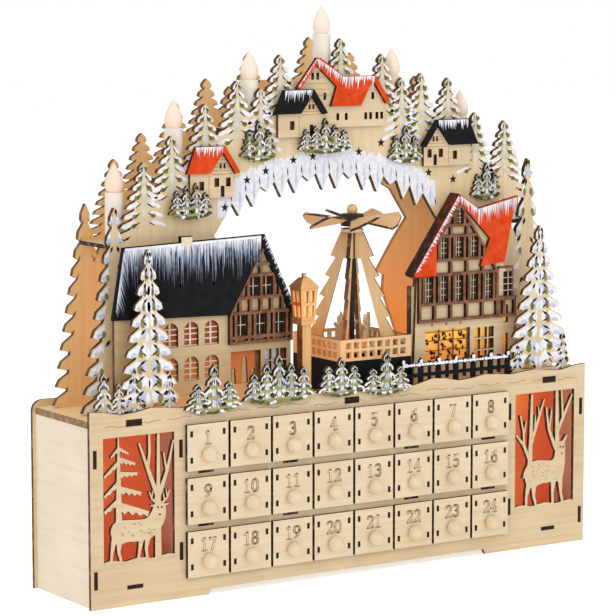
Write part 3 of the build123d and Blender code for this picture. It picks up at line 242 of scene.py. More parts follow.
@dataclass(frozen=True)
class Birch:
    """Laser-cut birch plywood: pale, faintly grained faces and burnt cut edges."""

    name: str
    light: str
    dark: str
    edge: str
    normal: Normal | None
    along: Normal = Normal.SIDE
    burnt_mm: Point | None = None

    def make(self) -> bpy.types.Material:
        """Build the material.

        Returns:
            The plywood material.
        """
        material, tree = blank(self.name)
        stretch = {"X": (70.0, 3.0, 3.0), "Y": (3.0, 70.0, 3.0), "Z": (3.0, 3.0, 70.0)}[self.along.value]
        figure = grain(tree, stretch, 4.0, 0.3, 0.72)
        cloud = grain(tree, (45.0, 45.0, 45.0), 2.0, 0.35, 0.7)
        share = add(tree, "Math", {"operation": "MULTIPLY"}, {0: figure, 1: 0.55}).outputs[0]
        both = add(tree, "Math", {"operation": "MULTIPLY_ADD", "use_clamp": True},
                   {0: cloud, 1: 0.4, 2: share}).outputs[0]
        color = blended(tree, both, linear(self.light), linear(self.dark))
        if self.normal is not None:
            color = blended(tree, cut_edges(tree, self.normal, self.burnt_mm), color, linear(self.edge))
        surface = {"Base Color": color, "Specular IOR Level": 0.25, **self.shine(tree)}
        finished(tree, surface, figure, 0.56, 0.7)
        return material

    def shine(self, tree: bpy.types.NodeTree) -> dict:
        """Light that the wood gives off: none for plain birch.

        Args:
            tree: node tree that the lit kinds add to.
        Returns:
            Emission sockets of the surface.
        """
        return {}


@dataclass(frozen=True)
class LampLitBirch(Birch):
    """Birch plywood that small lamps close by wash with orange light."""

    lamps_mm: tuple[tuple[float, float, float], ...] = ()
    glow: str = "#FF8430"
    strength: float = 0.5
    soft: str = "#FFC488"
    ambient: float = 0.0

    def shine(self, tree: bpy.types.NodeTree) -> dict:
        """Orange wash that fades away from each lamp.

        Args:
            tree: node tree that takes the nodes.
        Returns:
            Emission sockets of the surface.
        """
        total = lamp_wash(tree, self.lamps_mm)
        coords = add(tree, "TexCoord")
        ahead = add(tree, "SeparateXYZ", {}, {0: coords.outputs["Normal"]}).outputs["Y"]
        seen = add(tree, "Math", {"operation": "LESS_THAN"}, {0: ahead, 1: 0.5}).outputs[0]
        level = add(tree, "Math", {"operation": "MULTIPLY_ADD"},
                    {0: total, 1: self.strength, 2: self.ambient}).outputs[0]
        power = add(tree, "Math", {"operation": "MULTIPLY"}, {0: level, 1: seen}).outputs[0]
        color = blended(tree, total, linear(self.soft), linear(self.glow))
        return {"Emission Color": color, "Emission Strength": power}


@dataclass(frozen=True)
class Paint:
    """Brushed paint whose colour drifts between two tones."""

    name: str
    first: str
    second: str
    drift_mm: float = 6.0
    edge: str | None = None
    gloss: float = 0.2

    def make(self) -> bpy.types.Material:
        """Build the material.

        Returns:
            The paint material.
        """
        material, tree = blank(self.name)
        drift = grain(tree, (self.drift_mm, self.drift_mm, self.drift_mm), 3.0, 0.35, 0.65)
        color = blended(tree, drift, linear(self.first), linear(self.second))
        if self.edge is not None:
            color = blended(tree, cut_edges(tree, Normal.FRONT), color, linear(self.edge))
        finished(tree, {"Base Color": color, "Specular IOR Level": self.gloss}, drift, 0.6, 0.8)
        return material


@dataclass(frozen=True)
class LitSheet:
    """Coloured sheet with lamps beside it: bright by the lamps, deep red away from them."""

    name: str
    near: str
    far: str
    lamps_mm: tuple[tuple[float, float, float], ...]
    strength: float

    def make(self) -> bpy.types.Material:
        """Build the material.

        Returns:
            The lit sheet's material.
        """
        material, tree = blank(self.name)
        cloud = grain(tree, (30.0, 30.0, 30.0), 2.0, 0.2, 0.8)
        color = blended(tree, lamp_wash(tree, self.lamps_mm), linear(self.far), linear(self.near))
        finished(tree, {"Base Color": color, "Emission Color": color, "Emission Strength": self.strength},
                 cloud, 0.6, 0.75)
        return material


@dataclass(frozen=True)
class Turned:
    """Turned and cut beech of the rotor: a black hub and shaft, a pale ball and pale blades."""

    name: str
    pale: str
    deep: str
    hub: str
    axis_mm: Point
    hub_mm: float
    ball_mm: float

    def make(self) -> bpy.types.Material:
        """Build the material.

        Returns:
            The rotor's material.
        """
        material, tree = blank(self.name)
        figure = grain(tree, (30.0, 30.0, 4.0), 4.0, 0.3, 0.7)
        place = add(tree, "TexCoord").outputs["Object"]
        flat = add(tree, "Mapping", {}, {"Vector": place, "Scale": (1.0, 1.0, 0.0)}).outputs[0]
        away = add(tree, "VectorMath", {"operation": "DISTANCE"},
                   {0: flat, 1: (self.axis_mm[0] / 1000, self.axis_mm[1] / 1000, 0.0)}).outputs["Value"]
        middle = add(tree, "Math", {"operation": "LESS_THAN"}, {0: away, 1: self.hub_mm / 1000}).outputs[0]
        height = add(tree, "SeparateXYZ", {}, {0: place}).outputs["Z"]
        under = add(tree, "Math", {"operation": "LESS_THAN"}, {0: height, 1: self.ball_mm / 1000}).outputs[0]
        black = add(tree, "Math", {"operation": "MULTIPLY"}, {0: middle, 1: under}).outputs[0]
        edges = cut_edges(tree, Normal.FLAT)
        rim = add(tree, "Math", {"operation": "MULTIPLY"}, {0: edges, 1: under}).outputs[0]
        color = blended(tree, figure, linear(self.pale), linear(self.deep))
        color = blended(tree, add(tree, "Math", {"operation": "MAXIMUM"}, {0: black, 1: rim}).outputs[0],
                        color, linear(self.hub))
        finished(tree, {"Base Color": color, "Specular IOR Level": 0.3}, figure, 0.45, 0.65)
        return material


@dataclass(frozen=True)
class Glow:
    """Coloured paper lit from behind, brighter to one side."""

    name: str
    near: str
    far: str
    axis: Normal
    start_mm: float
    end_mm: float
    strength: float

    def make(self) -> bpy.types.Material:
        """Build the material.

        Returns:
            The lit paper material.
        """
        material, tree = blank(self.name)
        place = add(tree, "TexCoord").outputs["Object"]
        along = add(tree, "SeparateXYZ", {}, {0: place}).outputs[self.axis.value]
        share = add(tree, "MapRange", {"clamp": True},
                    {0: along, 1: self.start_mm / 1000, 2: self.end_mm / 1000})
        cloud = grain(tree, (30.0, 30.0, 30.0), 2.0, 0.2, 0.8)
        mixed = add(tree, "Math", {"operation": "MULTIPLY_ADD", "use_clamp": True},
                    {0: cloud, 1: 0.2, 2: share.outputs[0]}).outputs[0]
        color = blended(tree, mixed, linear(self.near), linear(self.far))
        finished(tree, {"Base Color": color, "Emission Color": color, "Emission Strength": self.strength},
                 cloud, 0.6, 0.75)
        return material


@dataclass(frozen=True)
class Plastic:
    """Moulded plastic with a faint mould texture."""

    name: str
    color: str
    roughness: float

    def make(self) -> bpy.types.Material:
        """Build the material.

        Returns:
            The plastic material.
        """
        material, tree = blank(self.name)
        red, green, blue, _ = linear(self.color)
        speck = grain(tree, (1.5, 1.5, 1.5), 2.0, 0.3, 0.7)
        color = blended(tree, speck, (red, green, blue, 1.0), (red * 0.9, green * 0.9, blue * 0.9, 1.0))
        finished(tree, {"Base Color": color}, speck, self.roughness, self.roughness + 0.1, 0.03)
        return material


FINISHES = {
    # Pale faces with a quiet grain; the laser leaves the cut edges dark brown
    "birch_front": Birch("birch ply, face to the front", "#E0CBA8", "#CDB088", "#4A2F1D", Normal.FRONT),
    # The same ply seen on its broad end faces, a little paler
    "birch_side": Birch("birch ply, face to the side", "#F0E2CE", "#E4D1B8", "#6B4A30", Normal.SIDE,
                        Normal.FRONT),
    # Deck boards, warmed where the house lamps shine on them
    "birch_flat": LampLitBirch("birch ply of the deck, lamp-lit", "#E6CC9E", "#D2AE78", "#5A3A22",
                               Normal.FLAT, lamps_mm=((-100.0, 133.0, 110.0), (105.0, 133.0, 95.0)),
                               strength=0.16, soft="#FFD69A", ambient=0.15),
    # Boards laid flat inside, dark at their tabs
    "shelf_birch": Birch("birch ply laid flat", "#E0CBA8", "#CDB088", "#24160E", Normal.FLAT),
    # Drawer fronts: the lightest birch, dark only round the edge of the front
    "drawer_birch": Birch("birch ply of the drawers", "#E8D6B8", "#D9C29C", "#2C1A10", Normal.FRONT,
                          burnt_mm=(-41.5, -38.1)),
    # Upright grain of the front arch and the tall trees, in birch a little lighter than the front panel's as
    # painted light against the arch's shade
    "arch_birch_painted_light": Birch("birch ply of the arch", "#E6D0AC", "#D2B88C", "#3E2718", Normal.FRONT, Normal.FLAT),
    # Ply under thin green paint, where the young trees stand
    "sapling_birch": Birch("birch ply, thinly painted green", "#B3AA80", "#8A8458", "#2A1C12", Normal.FRONT,
                           Normal.FLAT),
    # Rear arch, orange in the light of the hidden lamps
    "lit_arch": LampLitBirch("birch ply of the rear arch, lamp-lit", "#EAC592", "#DAAE74", "#4A2C18",
                             Normal.FRONT, Normal.FLAT,
                             lamps_mm=((72.0, 160.0, 150.0), (-120.0, 205.0, 90.0)),
                             glow="#FF8228", strength=0.42, ambient=0.05),
    # Lantern, orange round its lit head
    "lantern_birch": LampLitBirch("birch ply of the lantern, lamp-lit", "#E0B47C", "#CC9458", "#6B3A1C",
                                  Normal.FRONT, Normal.FLAT, lamps_mm=((-37.5, 203.0, 26.0),), glow="#FF7A24",
                                  strength=0.24),
    # Glass of the lantern with its lamp behind it
    "lantern_glow": Glow("lit lantern glass", "#FFD890", "#FFAA58", Normal.FLAT, 204.0, 190.0, 0.45),
    # Pyramid frame, with painted orange light given off as if from a lamp inside it
    "pyramid_birch": LampLitBirch("birch ply of the pyramid, lamp-lit", "#E2C294", "#CEA670", "#3E2718",
                                  Normal.UPRIGHT, Normal.FLAT, lamps_mm=((0.0, 165.0, 70.0),),
                                  glow="#FF8A3A", strength=0.22),
    # House wall in the shade of its roof, warm at the foot where the deck's lamps shine
    "house_birch": LampLitBirch("birch ply of the house walls", "#D3BA92", "#C0A276", "#4A2F1D", Normal.FRONT,
                                lamps_mm=((-140.0, 128.0, 38.0), (-112.0, 128.0, 40.0), (-84.0, 128.0, 38.0)),
                                glow="#FFB868", strength=0.34),
    # Turned beech of the turntable and its figures: smooth, warm, close-grained
    "turned_beech": Birch("turned beech", "#E6C9A0", "#D4AE7C", "#5A3820", None),
    # Rotor blades in pale wood round a blackened hub and shaft
    "rotor_beech": Turned("cut and turned beech of the rotor", "#EFC99A", "#E2B27C", "#2C1C14", (27.0, 1.8),
                          8.8, 264.2),
    # Matt black roof paint that soaks up light
    "slate": Paint("black slate paint", "#121214", "#1D1D20", 6.0, None, 0.08),
    # Bright brick-red roof paint, dark where the sheet is cut
    "tile": Paint("red tile paint", "#DF4A14", "#CB3B0A", 6.0, "#2E1C12"),
    # Stained half-timbering
    "timber": Paint("dark timber stain", "#8C6046", "#6C4430", 5.0, "#2A1710"),
    # White and grey paints, thick to thin, with a cool cast in their hollows
    "snow": Paint("snow paint", "#F3F3F5", "#E2E2EA", 4.0),
    "rime": Paint("rime paint", "#EDECF0", "#DAD8E2", 3.0),
    "frost": Paint("lilac frost paint", "#CFCEE0", "#B7C2D4", 3.0),
    "mist": Paint("grey-green frost paint", "#DCD8CC", "#C6C2B0", 8.0),
    "haze": Paint("thin frost over black", "#8F98AE", "#5D6679", 3.0),
    # Olive brush strokes between the snowy boughs
    "moss": Paint("moss green paint", "#98905A", "#716C3E", 3.0),
    "pine": Paint("deep green paint", "#5F6632", "#474C26", 3.0),
    # Slits that the laser burnt through or into the face
    "char": Paint("burnt slit", "#1E130C", "#2C1C12", 2.0),
    "engraving": Paint("engraved line", "#B08A58", "#9C7646", 2.0),
    # Unlit panes and pale bars of the upper windows
    "dusk": Paint("dark window pane", "#2A1610", "#170C09", 4.0),
    "cream": Paint("pale window bars", "#E9DCC4", "#D8C6A6", 4.0),
    # Paper lit from behind in the lower windows
    "window_glow": Glow("lit orange window paper", "#E08440", "#9A4424", Normal.FLAT, 148.0, 186.0, 0.2),
    "shop_glow": Glow("lit yellow window paper", "#FFC44E", "#E88A3A", Normal.FLAT, 172.0, 150.0, 0.4),
    # Red sheets behind the cut-out scenes, orange beside the lamps
    "scene_glow": LitSheet("lamp-lit red sheet", "#FFA648", "#CC5A34", (
        (-224.0, 84.0, 46.0), (146.0, 124.0, 62.0), (143.0, 38.0, 52.0)), 0.5),
    # Thin plastic with the lamp's light inside it
    "ivory": Glow("ivory candle plastic", "#F0E5D6", "#E6DACA", Normal.FLAT, 430.0, 260.0, 0.04),
    # Frosted glass round a small warm lamp
    "bulb": Glow("lit bulb", "#F3E4D6", "#EBD0BA", Normal.FLAT, 430.0, 250.0, 0.06),
    # Moulded black case, plain sleeves of the cells, white lamp boards
    "case": Plastic("black case plastic", "#161616", 0.45),
    "sleeve": Plastic("battery sleeve", "#3E4A52", 0.3),
    "board": Plastic("white lamp board", "#DADAD4", 0.5),
}

NODE_FINISHES = {
    "front_panel": "birch_front", "back_panel": "birch_front", "side_panels": "birch_side",
    "deck_boards": "birch_flat", "floor_panel": "shelf_birch", "drawer_shelves": "shelf_birch",
    "column_dividers": "birch_side", "window_scenes": "birch_front", "window_backings": "scene_glow",
    "battery_holder": "case", "battery_cells": "sleeve", "battery_cover": "case", "power_switch": "case",
    "lamp_boards": "board", "front_arch": "arch_birch_painted_light", "rear_arch": "lit_arch",
    "candle_shelves": "shelf_birch", "candle_sleeves": "ivory", "candle_bulbs": "bulb",
    "cottage_walls": "birch_front", "red_cottage_roofs": "tile", "black_cottage_roofs": "slate",
    "left_house_wall": "house_birch", "left_house_roof": "slate", "right_house_wall": "birch_front",
    "right_house_roof": "tile", "timber_frames": "timber", "street_lantern": "lantern_birch",
    "pyramid_base": "slate", "pyramid_balustrade": "pyramid_birch", "pyramid_frame": "pyramid_birch",
    "pyramid_rotor": "rotor_beech", "pyramid_turntable": "turned_beech", "garden_fence": "slate",
    "standing_spruces": "arch_birch_painted_light", "sapling_clumps": "sapling_birch",
}


SKIN_MM = 0.12
LAYER_MM = 0.05


def chance(*seed: float) -> float:
    """Repeatable scatter.

    Args:
        seed: numbers that tell one use from another.
    Returns:
        A number from 0 to 1.
    """
    return (math.sin(sum(value * (12.9898 + 7.13 * i) for i, value in enumerate(seed))) * 43758.5453) % 1.0


def bar(start: Point, end: Point, wide: float, tip: float | None = None) -> list[Point]:
    """Straight stroke with its own width at each end.

    Args:
        start: first end.
        end: second end.
        wide: width at the first end.
        tip: width at the second end, the same if left out.
    Returns:
        The stroke's four corners.
    """
    last = wide if tip is None else tip
    run = math.hypot(end[0] - start[0], end[1] - start[1])
    nx, nz = (start[1] - end[1]) / run, (end[0] - start[0]) / run
    return [(start[0] + nx * wide / 2, start[1] + nz * wide / 2),
            (start[0] - nx * wide / 2, start[1] - nz * wide / 2),
            (end[0] - nx * last / 2, end[1] - nz * last / 2),
            (end[0] + nx * last / 2, end[1] + nz * last / 2)]


def sliver(start: Point, end: Point, wide: float) -> list[Point]:
    """Leaf-shaped stroke, pointed at both ends.

    Args:
        start: first end.
        end: second end.
        wide: width in the middle.
    Returns:
        The stroke's corners.
    """
    run = math.hypot(end[0] - start[0], end[1] - start[1])
    nx, nz = (start[1] - end[1]) / run * wide / 2, (end[0] - start[0]) / run * wide / 2
    mx, mz = start[0] * 0.55 + end[0] * 0.45, start[1] * 0.55 + end[1] * 0.45
    return [start, (mx - nx, mz - nz), end, (mx + nx, mz + nz)]


def dab(x: float, z: float, wide: float, tall: float, seed: float) -> list[Point]:
    """Uneven brush dab.

    Args:
        x: middle across.
        z: middle height.
        wide: width.
        tall: height.
        seed: number that tells one dab from another.
    Returns:
        The dab's corners.
    """
    points = []
    for index in range(7):
        turn = 2 * math.pi * index / 7
        reach = 0.36 + 0.2 * chance(seed, index)
        points.append((x + wide * reach * math.cos(turn), z + tall * reach * math.sin(turn)))
    return points


def rect(x0: float, z0: float, x1: float, z1: float) -> list[Point]:
    """Upright rectangle.

    Args:
        x0: left edge.
        z0: lower edge.
        x1: right edge.
        z1: upper edge.
    Returns:
        Its four corners.
    """
    return [(x0, z0), (x1, z0), (x1, z1), (x0, z1)]


def rounded(points: Sequence[Point], steps: int = 4) -> list[Point]:
    """Closed smooth curve through a few points.

    Args:
        points: points that the curve passes.
        steps: corners from one point to the next.
    Returns:
        The curve's corners.
    """
    made, count = [], len(points)
    for index in range(count):
        before, start, end, after = (points[(index + shift) % count] for shift in (-1, 0, 1, 2))
        for step in range(steps):
            t = step / steps
            made.append(tuple(0.5 * (2 * b + (c - a) * t + (2 * a - 5 * b + 4 * c - d) * t * t
                                     + (3 * b - a - 3 * c + d) * t ** 3)
                              for a, b, c, d in zip(before, start, end, after)))
    return made


def limb(points: Sequence[Point], widths: Sequence[float]) -> list[Point]:
    """Bent stroke with its own width at every point.

    Args:
        points: middle line of the stroke.
        widths: width at each point.
    Returns:
        The stroke's corners.
    """
    left, right = [], []
    for index, ((x, z), wide) in enumerate(zip(points, widths)):
        (ax, az), (bx, bz) = points[max(0, index - 1)], points[min(len(points) - 1, index + 1)]
        run = math.hypot(bx - ax, bz - az)
        nx, nz = (az - bz) / run * wide / 2, (bx - ax) / run * wide / 2
        left.append((x + nx, z + nz))
        right.append((x - nx, z - nz))
    return left + right[::-1]


def toothed(start: Point, end: Point, wide: float, teeth: int) -> list[Point]:
    """Bough with a straight upper side and a toothed lower side.

    Args:
        start: end at the trunk.
        end: free end.
        wide: width at the trunk.
        teeth: number of teeth.
    Returns:
        The bough's corners.
    """
    lower = []
    for index in range(2 * teeth):
        share = (index + 0.5) / (2 * teeth)
        drop = wide * (0.95 - 0.5 * share) * (1.0 if index % 2 else 0.62)
        lower.append((start[0] + (end[0] - start[0]) * share, start[1] + (end[1] - start[1]) * share - drop))
    return [start, end] + lower[::-1] + [(start[0], start[1] - wide)]


def slab(shapes: Sequence[tuple[Sequence[Point], float]], thick: float) -> bmesh.types.BMesh:
    """Raise flat outlines into thin solids.

    Args:
        shapes: corners as (x, z) and the Y of each outline, in millimetres.
        thick: thickness along Y in millimetres, negative towards the front.
    Returns:
        The solids.
    """
    work = bmesh.new()
    for points, plane in shapes:
        work.faces.new([work.verts.new((x / 1000, plane / 1000, z / 1000)) for x, z in points])
    made = bmesh.ops.extrude_face_region(work, geom=work.faces[:], use_keep_orig=True)
    moved = [item for item in made["geom"] if isinstance(item, bmesh.types.BMVert)]
    bmesh.ops.translate(work, verts=moved, vec=(0.0, thick / 1000, 0.0))
    bmesh.ops.recalc_face_normals(work, faces=work.faces[:])
    return work


def piece_of(work: bmesh.types.BMesh, name: str,
             material: bpy.types.Material | None = None) -> bpy.types.Object:
    """Put a finished bmesh into the scene and free it.

    Args:
        work: the finished shape.
        name: name of the piece.
        material: its material, if it has one.
    Returns:
        The new object.
    """
    mesh = bpy.data.meshes.new(name)
    work.to_mesh(mesh)
    work.free()
    if material is not None:
        mesh.materials.append(material)
    piece = bpy.data.objects.new(name, mesh)
    bpy.context.scene.collection.objects.link(piece)
    return piece


@dataclass
class Sheetwork:
    """Thin flat shapes lying on the front of upright sheets, gathered into one piece per finish."""

    name: str
    body: str
    slot: str
    shapes: dict[str, list[tuple[list[Point], float]]] = field(default_factory=dict)

    def lay(self, finish: str, points: Sequence[Point], plane: float, layer: int = 0) -> None:
        """Lay one shape on a plane that looks to the front.

        Args:
            finish: name of the finish.
            points: corners as (x, z) in millimetres.
            plane: Y of the sheet's face in millimetres.
            layer: how many coats lie under this one.
        """
        self.shapes.setdefault(finish, []).append((list(points), plane - layer * LAYER_MM))

    def place(self, materials: dict[str, bpy.types.Material]) -> None:
        """Make the pieces and let them ride on their body.

        Args:
            materials: every finish's material by name.
        """
        for finish, shapes in self.shapes.items():
            name = f"{self.name}_{finish}"
            piece = piece_of(slab(shapes, -SKIN_MM), name, materials[finish])
            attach(piece, self.body)
            LOG.info("%s: %d shapes", name, len(shapes))


@dataclass(frozen=True)
class Planes:
    """Faces and levels read from the frame, in millimetres."""

    face: float
    deck: float
    arch: float
    wall: float
    roof: float
    spruce: float

    @classmethod
    def read(cls) -> Planes:
        """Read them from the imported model.

        Returns:
            The planes.
        """
        return cls(face=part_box("front_panel")[0][1] * 1000, deck=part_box("deck_boards")[1][2] * 1000,
                   arch=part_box("front_arch")[0][1] * 1000, wall=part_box("left_house_wall")[0][1] * 1000,
                   roof=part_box("left_house_roof")[0][1] * 1000,
                   spruce=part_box("standing_spruces")[0][1] * 1000)


class Habit(Enum):
    """How a spruce is painted."""

    TALL = "snow on the bough ends, bare wood in the middle"
    SNOWY = "snow, lilac and olive from the tips to the trunk"
    SLIM = "a frosted trunk between green and white boughs"
    YOUNG = "olive under patches of snow"
    FROSTED = "thick with snow"


@dataclass(frozen=True)
class Tree:
    """Spruce of the CAD's outline: foot, tip, reach, boughs, trunk and the face it stands in."""

    x: float
    base: float
    tip: float
    half: float
    tiers: int
    trunk: float
    plane: float
    habit: Habit

    def reach(self, tier: int) -> float:
        """Half-width of a tier.

        Args:
            tier: tier from the foot.
        Returns:
            How far its boughs reach.
        """
        return self.half * max(0.0, 1 - tier / self.tiers) ** 0.85

    def paint(self, coat: Sheetwork) -> None:
        """Paint snow, green and shade on every bough.

        Args:
            coat: sheetwork that takes the shapes.
        """
        for tier in range(self.tiers):
            for side in (-1, 1):
                Bough(self, coat, tier, side).paint()
        if self.habit is Habit.SLIM:
            foot = self.tip - 0.62 * (self.tip - self.base)
            streak = ((-1.7, foot), (0.0, foot - 8), (1.7, foot), (2.0, foot + 12), (0.5, self.tip - 2),
                      (-0.5, self.tip - 2), (-2.0, foot + 12))
            coat.lay("mist", [(self.x + dx, z) for dx, z in streak], self.plane, 2)


@dataclass(frozen=True)
class Bough:
    """One bough of a spruce, by its tier from the foot and its side, and the sheetwork for its paint."""

    tree: Tree
    coat: Sheetwork
    tier: int
    side: int

    @property
    def step(self) -> float:
        """Height of a tier."""
        return (self.tree.tip - self.tree.base - self.tree.trunk) / self.tree.tiers

    @property
    def seed(self) -> float:
        """Number that tells one bough from another."""
        return self.tree.x + 31.0 * self.tier + 7.0 * self.side

    def luck(self, use: int) -> float:
        """Repeatable scatter from 0 to 1 for one use on this bough."""
        return chance(self.seed, use)

    def at(self, share: float, up: float, above: bool = False) -> Point:
        """Point on the bough.

        Args:
            share: share of the tier's reach.
            up: share of the step above the tier's foot.
            above: take the reach of the next tier.
        Returns:
            The point.
        """
        low = self.tree.base + self.tree.trunk + self.tier * self.step
        return self.tree.x + self.side * share * self.tree.reach(self.tier + above), low + up * self.step

    def lay(self, finish: str, points: Sequence[Point], layer: int = 0) -> None:
        """Lay one shape on the tree's face, over a number of coats."""
        self.coat.lay(finish, points, self.tree.plane, layer)

    def paint(self) -> None:
        """Paint the bough in its tree's habit."""
        {Habit.TALL: self.tall, Habit.SNOWY: self.snowy, Habit.SLIM: self.slim, Habit.YOUNG: self.young,
         Habit.FROSTED: self.young}[self.tree.habit]()

    def cap(self, tone: str, inner: float) -> None:
        """Lay ragged snow along the bough.

        Args:
            tone: finish of the snow.
            inner: share of the reach where the snow begins.
        """
        at, jag = self.at, [0.14 * self.luck(20 + index) for index in range(4)]
        crook = at(0.5, 0.86, True) if self.tier + 1 < self.tree.tiers else at(0.1, 0.8)
        self.lay(tone, [at(0.95, 0.17), at(0.85, 0.46), crook, at(inner, 0.68),
                        at(inner + 0.01, 0.22 + jag[0]), at(inner + 0.1, 0.36 + jag[1]),
                        at(inner + 0.17, 0.08 + jag[2]), at(inner + 0.25, 0.26 + jag[3]), at(0.84, 0.06)])

    def tall(self) -> None:
        """Paint a bough of a tall spruce beside the gate."""
        at, luck, half = self.at, self.luck, self.tree.half
        self.cap("snow", 0.42 + 0.1 * luck(1))
        self.lay("frost", dab(*at(0.7, 0.24), 0.2 * half, 0.3 * self.step, self.seed), 1)
        if luck(2) < 0.5:
            self.lay("moss", dab(*at(0.5, 0.3), 0.12 * half, 0.45 * self.step, self.seed + 1), 2)
        if luck(3) < 0.4:
            self.lay("pine", sliver(at(0.62, 0.16), at(0.84, 0.12), 0.9), 2)
        if luck(6) < 0.5:
            self.lay("char", sliver(at(0.2, 0.98), at(0.4, 0.6), 1.8 + luck(7)), 3)

    def snowy(self) -> None:
        """Paint a bough of a standing spruce."""
        at, luck, step, seed = self.at, self.luck, self.step, self.seed
        self.cap("snow" if luck(1) < 0.65 else "rime", 0.34)
        wide = 0.22 * self.tree.reach(self.tier) + 1.4
        tone = ("frost", "rime", "snow")[int(3 * luck(2))]
        self.lay(tone, dab(*at(0.2, 0.5), wide, 1.0 * step, seed), 1)
        self.lay("frost", dab(*at(0.66, 0.2), wide, 0.36 * step, seed + 2), 1)
        if luck(3) < 0.72:
            self.lay("moss", dab(*at(0.36, 0.28), 0.8 * wide, 0.7 * step, seed + 3), 2)
        if luck(4) < 0.5:
            self.lay("pine", sliver(at(0.3, 0.44), at(0.42, 0.06), 1.3), 3)
        if luck(5) < 0.6:
            tone = "snow" if luck(7) < 0.5 else "rime"
            self.lay(tone, dab(*at(0.04 + 0.06 * luck(6), 0.3), 4.2, 0.9 * step, seed + 4), 2)
        lean = 0.2 * luck(8)
        self.lay("char", sliver(at(0.3 - lean, 0.86), at(0.42, 0.46), 1.5 + 0.8 * luck(9)), 4)
        if luck(10) < 0.45:
            self.lay("char", sliver(at(0.12, 0.06), at(0.2 + lean, 0.36), 1.5), 4)

    def slim(self) -> None:
        """Paint a bough of a slim spruce on the ridge, bare in its two lowest tiers."""
        at, luck = self.at, self.luck
        if self.tier < 2:
            return
        self.cap("snow" if luck(1) < 0.7 else "rime", 0.3)
        if luck(2) < 0.7:
            self.lay("moss", dab(*at(0.44, 0.3), 0.2 * self.tree.half, 0.6 * self.step, self.seed), 1)
        if luck(3) < 0.45:
            self.lay("pine", sliver(at(0.3, 0.4), at(0.6, 0.14), 1.0), 2)
        self.lay("char", sliver(at(0.16, 0.7), at(0.5, 0.2), 0.8 + 0.5 * luck(4)), 3)

    def young(self) -> None:
        """Paint a bough of a young spruce."""
        at, luck, half, step, seed = self.at, self.luck, self.tree.half, self.step, self.seed
        tones = (("snow", "snow", "rime", "snow", "frost", "mist") if self.tree.habit is Habit.FROSTED else
                 ("snow", "snow", "rime", "frost", "moss", "mist"))
        self.cap(tones[int(6 * luck(1))], 0.16 + 0.2 * luck(2))
        if luck(3) < 0.55:
            self.lay("moss", dab(*at(0.3 + 0.3 * luck(4), 0.3), 0.24 * half, 0.5 * step, seed), 1)
        if luck(5) < 0.7:
            self.lay("pine", sliver(at(0.2, 0.5), at(0.66, 0.1), 1.3), 2)
        self.lay("char", sliver(at(0.5, 0.5), at(0.72, 0.1), 0.6 + 0.6 * luck(12)), 3)
        tone = "frost" if luck(6) < 0.5 else "snow"
        self.lay(tone, dab(*at(0.08, 0.45), 0.2 * half, 0.8 * step, seed + 6), 2)
        if luck(7) < 0.8:
            inner, outer = at(0.06 + 0.24 * luck(8), 0.74), at(0.3 + 0.3 * luck(9), 0.12)
            self.lay("char", sliver(inner, outer, 0.7 + 0.4 * luck(10)), 3)


